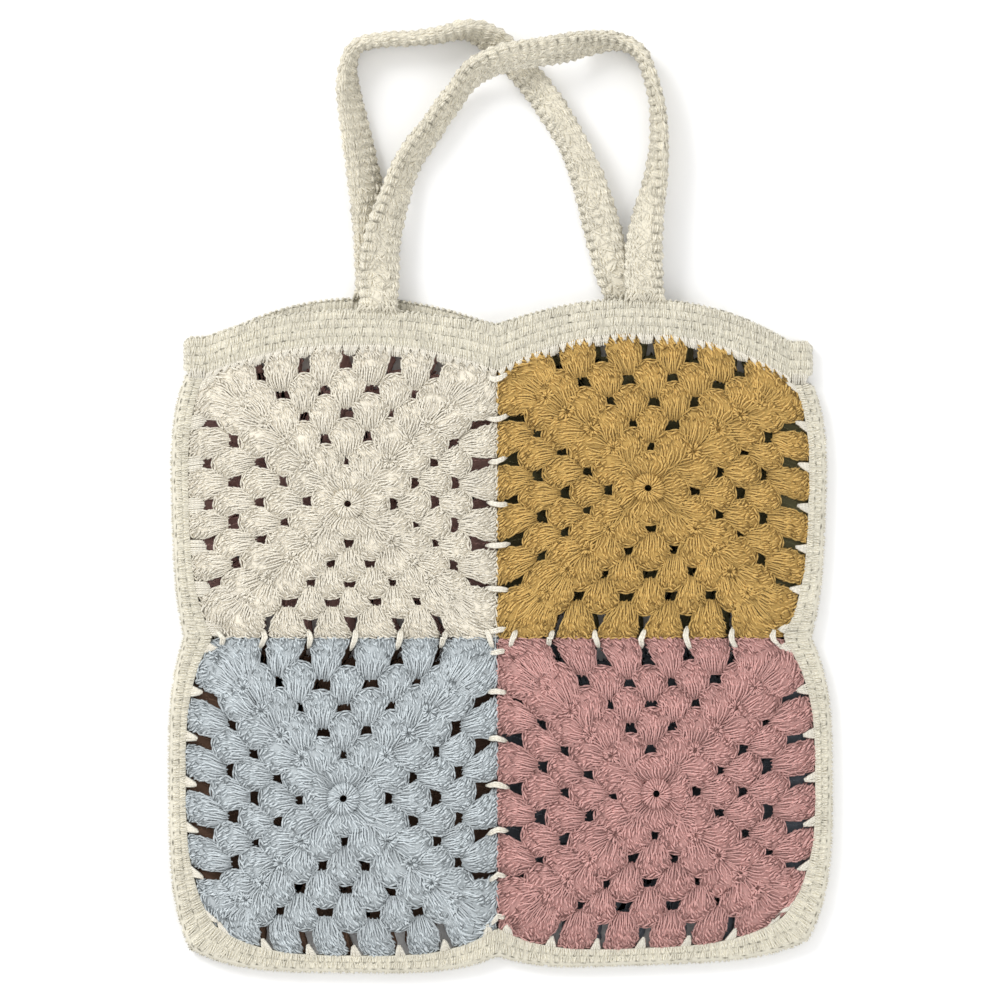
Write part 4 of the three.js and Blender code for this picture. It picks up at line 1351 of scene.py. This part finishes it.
class BAG_OT_side_edging(bpy.types.Operator):
    """Works the single crochet edging down both sides and along the bottom"""

    bl_idname = "bag.side_edging"
    bl_label = "Side Edging"

    def execute(self, context):
        settings = context.scene.bag_settings
        yarn = edging_yarn(np.random.default_rng(EDGING_SEED), settings.stitch_width / MM)
        material = cotton("edging_cotton_yarn", settings.band, BAND_SHARES)
        dress_band(context, "side_edging_stitches", yarn, "edging_cotton", material, "side_edging")
        return {"FINISHED"}


class BAG_OT_rim_band(bpy.types.Operator):
    """Works the rows of single crochet round the mouth"""

    bl_idname = "bag.rim_band"
    bl_label = "Rim Band"

    def execute(self, context):
        settings = context.scene.bag_settings
        yarn = rim_yarn(np.random.default_rng(RIM_SEED), settings.stitch_width / MM)
        material = cotton("rim_cotton_yarn", settings.band, BAND_SHARES)
        dress_band(context, "rim_band_stitches", yarn, "edging_cotton", material, "rim_band")
        return {"FINISHED"}


class BAG_OT_handles(bpy.types.Operator):
    """Works the two strap handles"""

    bl_idname = "bag.handles"
    bl_label = "Handles"

    def execute(self, context):
        settings = context.scene.bag_settings
        material = cotton("handle_cotton_yarn", settings.handle, BAND_SHARES)
        for node, handle, stations in (
            ("front_handle", FRONT_HANDLE, FRONT_STATIONS),
            ("back_handle", BACK_HANDLE, BACK_STATIONS),
        ):
            is_back = node == "back_handle"
            draw = np.random.default_rng(len(stations))
            strap = Strap(handle, stations, is_back)
            yarn = strap_yarn(strap, -1 if is_back else 1, draw, settings.strap_row / MM)
            for foot in (handle["left_foot"], handle["left_foot"] + handle["span"]):
                stitches = foot_stitches(Rim().mouth, MEETING[0] + foot, is_back, draw)
                yarn.add_yarn(stitches, STRAP_PLY, draw.normal(-0.2, 0.4, len(stitches)))
            dress_band(context, f"{node}_stitches", yarn, "handle_cotton", material, node)
        return {"FINISHED"}


# The stage, in metres: a wide white paper floor and two soft lights with their width and power in watts
FLOOR_REACH = 6
WORLD_STRENGTH = 0.92
LIGHTS = (
    ("key_light", (-1.5, 1.4, 1.7), 1.1, 34),
    ("fill_light", (1.6, -0.8, 2.2), 2.0, 12),
)

# A long lens straight above the bag, far enough for its picture to span 0.525 m at the bag's middle height
SENSOR = 36
LENS = 180
PICTURE_SPAN = 0.525
BAG_MIDDLE = (-0.00026, -0.0016, 0.012)


class BAG_OT_stage(bpy.types.Operator):
    """Sets up the pale floor, the soft lights and the camera straight above the bag"""

    bl_idname = "bag.stage"
    bl_label = "Stage"

    def execute(self, context):
        scene = context.scene
        scene.view_settings.view_transform = "Standard"
        floor_mesh = bpy.data.meshes.new("pale_floor")
        corners = [(x * FLOOR_REACH, y * FLOOR_REACH, 0) for x, y in ((-1, -1), (1, -1), (1, 1), (-1, 1))]
        floor_mesh.from_pydata(corners, [], [(0, 1, 2, 3)])
        floor = bpy.data.objects.new("pale_floor", floor_mesh)
        scene.collection.objects.link(floor)
        paper = bpy.data.materials.new("white_paper_sweep")
        paper.use_nodes = True
        shader = paper.node_tree.nodes["Principled BSDF"]
        shader.inputs["Base Color"].default_value = (*linear("FAFAFA"), 1)
        shader.inputs["Roughness"].default_value = 0.95
        floor_mesh.materials.append(paper)

        world = bpy.data.worlds.new("studio")
        world.use_nodes = True
        background = world.node_tree.nodes["Background"].inputs
        background["Color"].default_value = (1, 1, 1, 1)
        background["Strength"].default_value = WORLD_STRENGTH
        scene.world = world

        for label, place, width, power in LIGHTS:
            lamp = bpy.data.lights.new(label, "AREA")
            lamp.shape = "SQUARE"
            lamp.size = width
            lamp.energy = power
            light = bpy.data.objects.new(label, lamp)
            light.location = place
            light.rotation_euler = (-light.location).to_track_quat("-Z", "Y").to_euler()
            scene.collection.objects.link(light)

        lens = bpy.data.cameras.new("camera")
        lens.sensor_width = SENSOR
        lens.lens = LENS
        lens.clip_end = 20
        camera = bpy.data.objects.new("camera", lens)
        camera.location = (*BAG_MIDDLE[:2], BAG_MIDDLE[2] + PICTURE_SPAN * LENS / SENSOR)
        scene.collection.objects.link(camera)
        scene.camera = camera
        return {"FINISHED"}


class BAG_PT_panel(bpy.types.Panel):
    """Lists the pieces of the bag"""

    bl_idname = "BAG_PT_panel"
    bl_label = "Crochet Bag"
    bl_space_type = "VIEW_3D"
    bl_region_type = "UI"
    bl_category = "Crochet Bag"

    def draw(self, context):
        layout = self.layout
        for name in BAG_PG_settings.__annotations__:
            layout.prop(context.scene.bag_settings, name)
        for operator in OPERATORS:
            layout.operator(operator.bl_idname)


OPERATORS = (
    BAG_OT_front_squares, BAG_OT_back_squares, BAG_OT_sewing, BAG_OT_side_edging, BAG_OT_rim_band,
    BAG_OT_handles, BAG_OT_stage,
)
CLASSES = (BAG_PG_settings, *OPERATORS, BAG_PT_panel)


def register():
    """Makes the settings, the operators and the panel known to Blender."""
    for cls in CLASSES:
        bpy.utils.register_class(cls)
    bpy.types.Scene.bag_settings = bpy.props.PointerProperty(type=BAG_PG_settings)


def unregister():
    """Takes them away again."""
    del bpy.types.Scene.bag_settings
    for cls in reversed(CLASSES):
        bpy.utils.unregister_class(cls)


def main():
    """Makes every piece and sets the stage."""
    register()
    bpy.ops.bag.front_squares()
    bpy.ops.bag.back_squares()
    bpy.ops.bag.sewing()
    bpy.ops.bag.side_edging()
    bpy.ops.bag.rim_band()
    bpy.ops.bag.handles()
    bpy.ops.bag.stage()


if __name__ == "__main__":
    main()
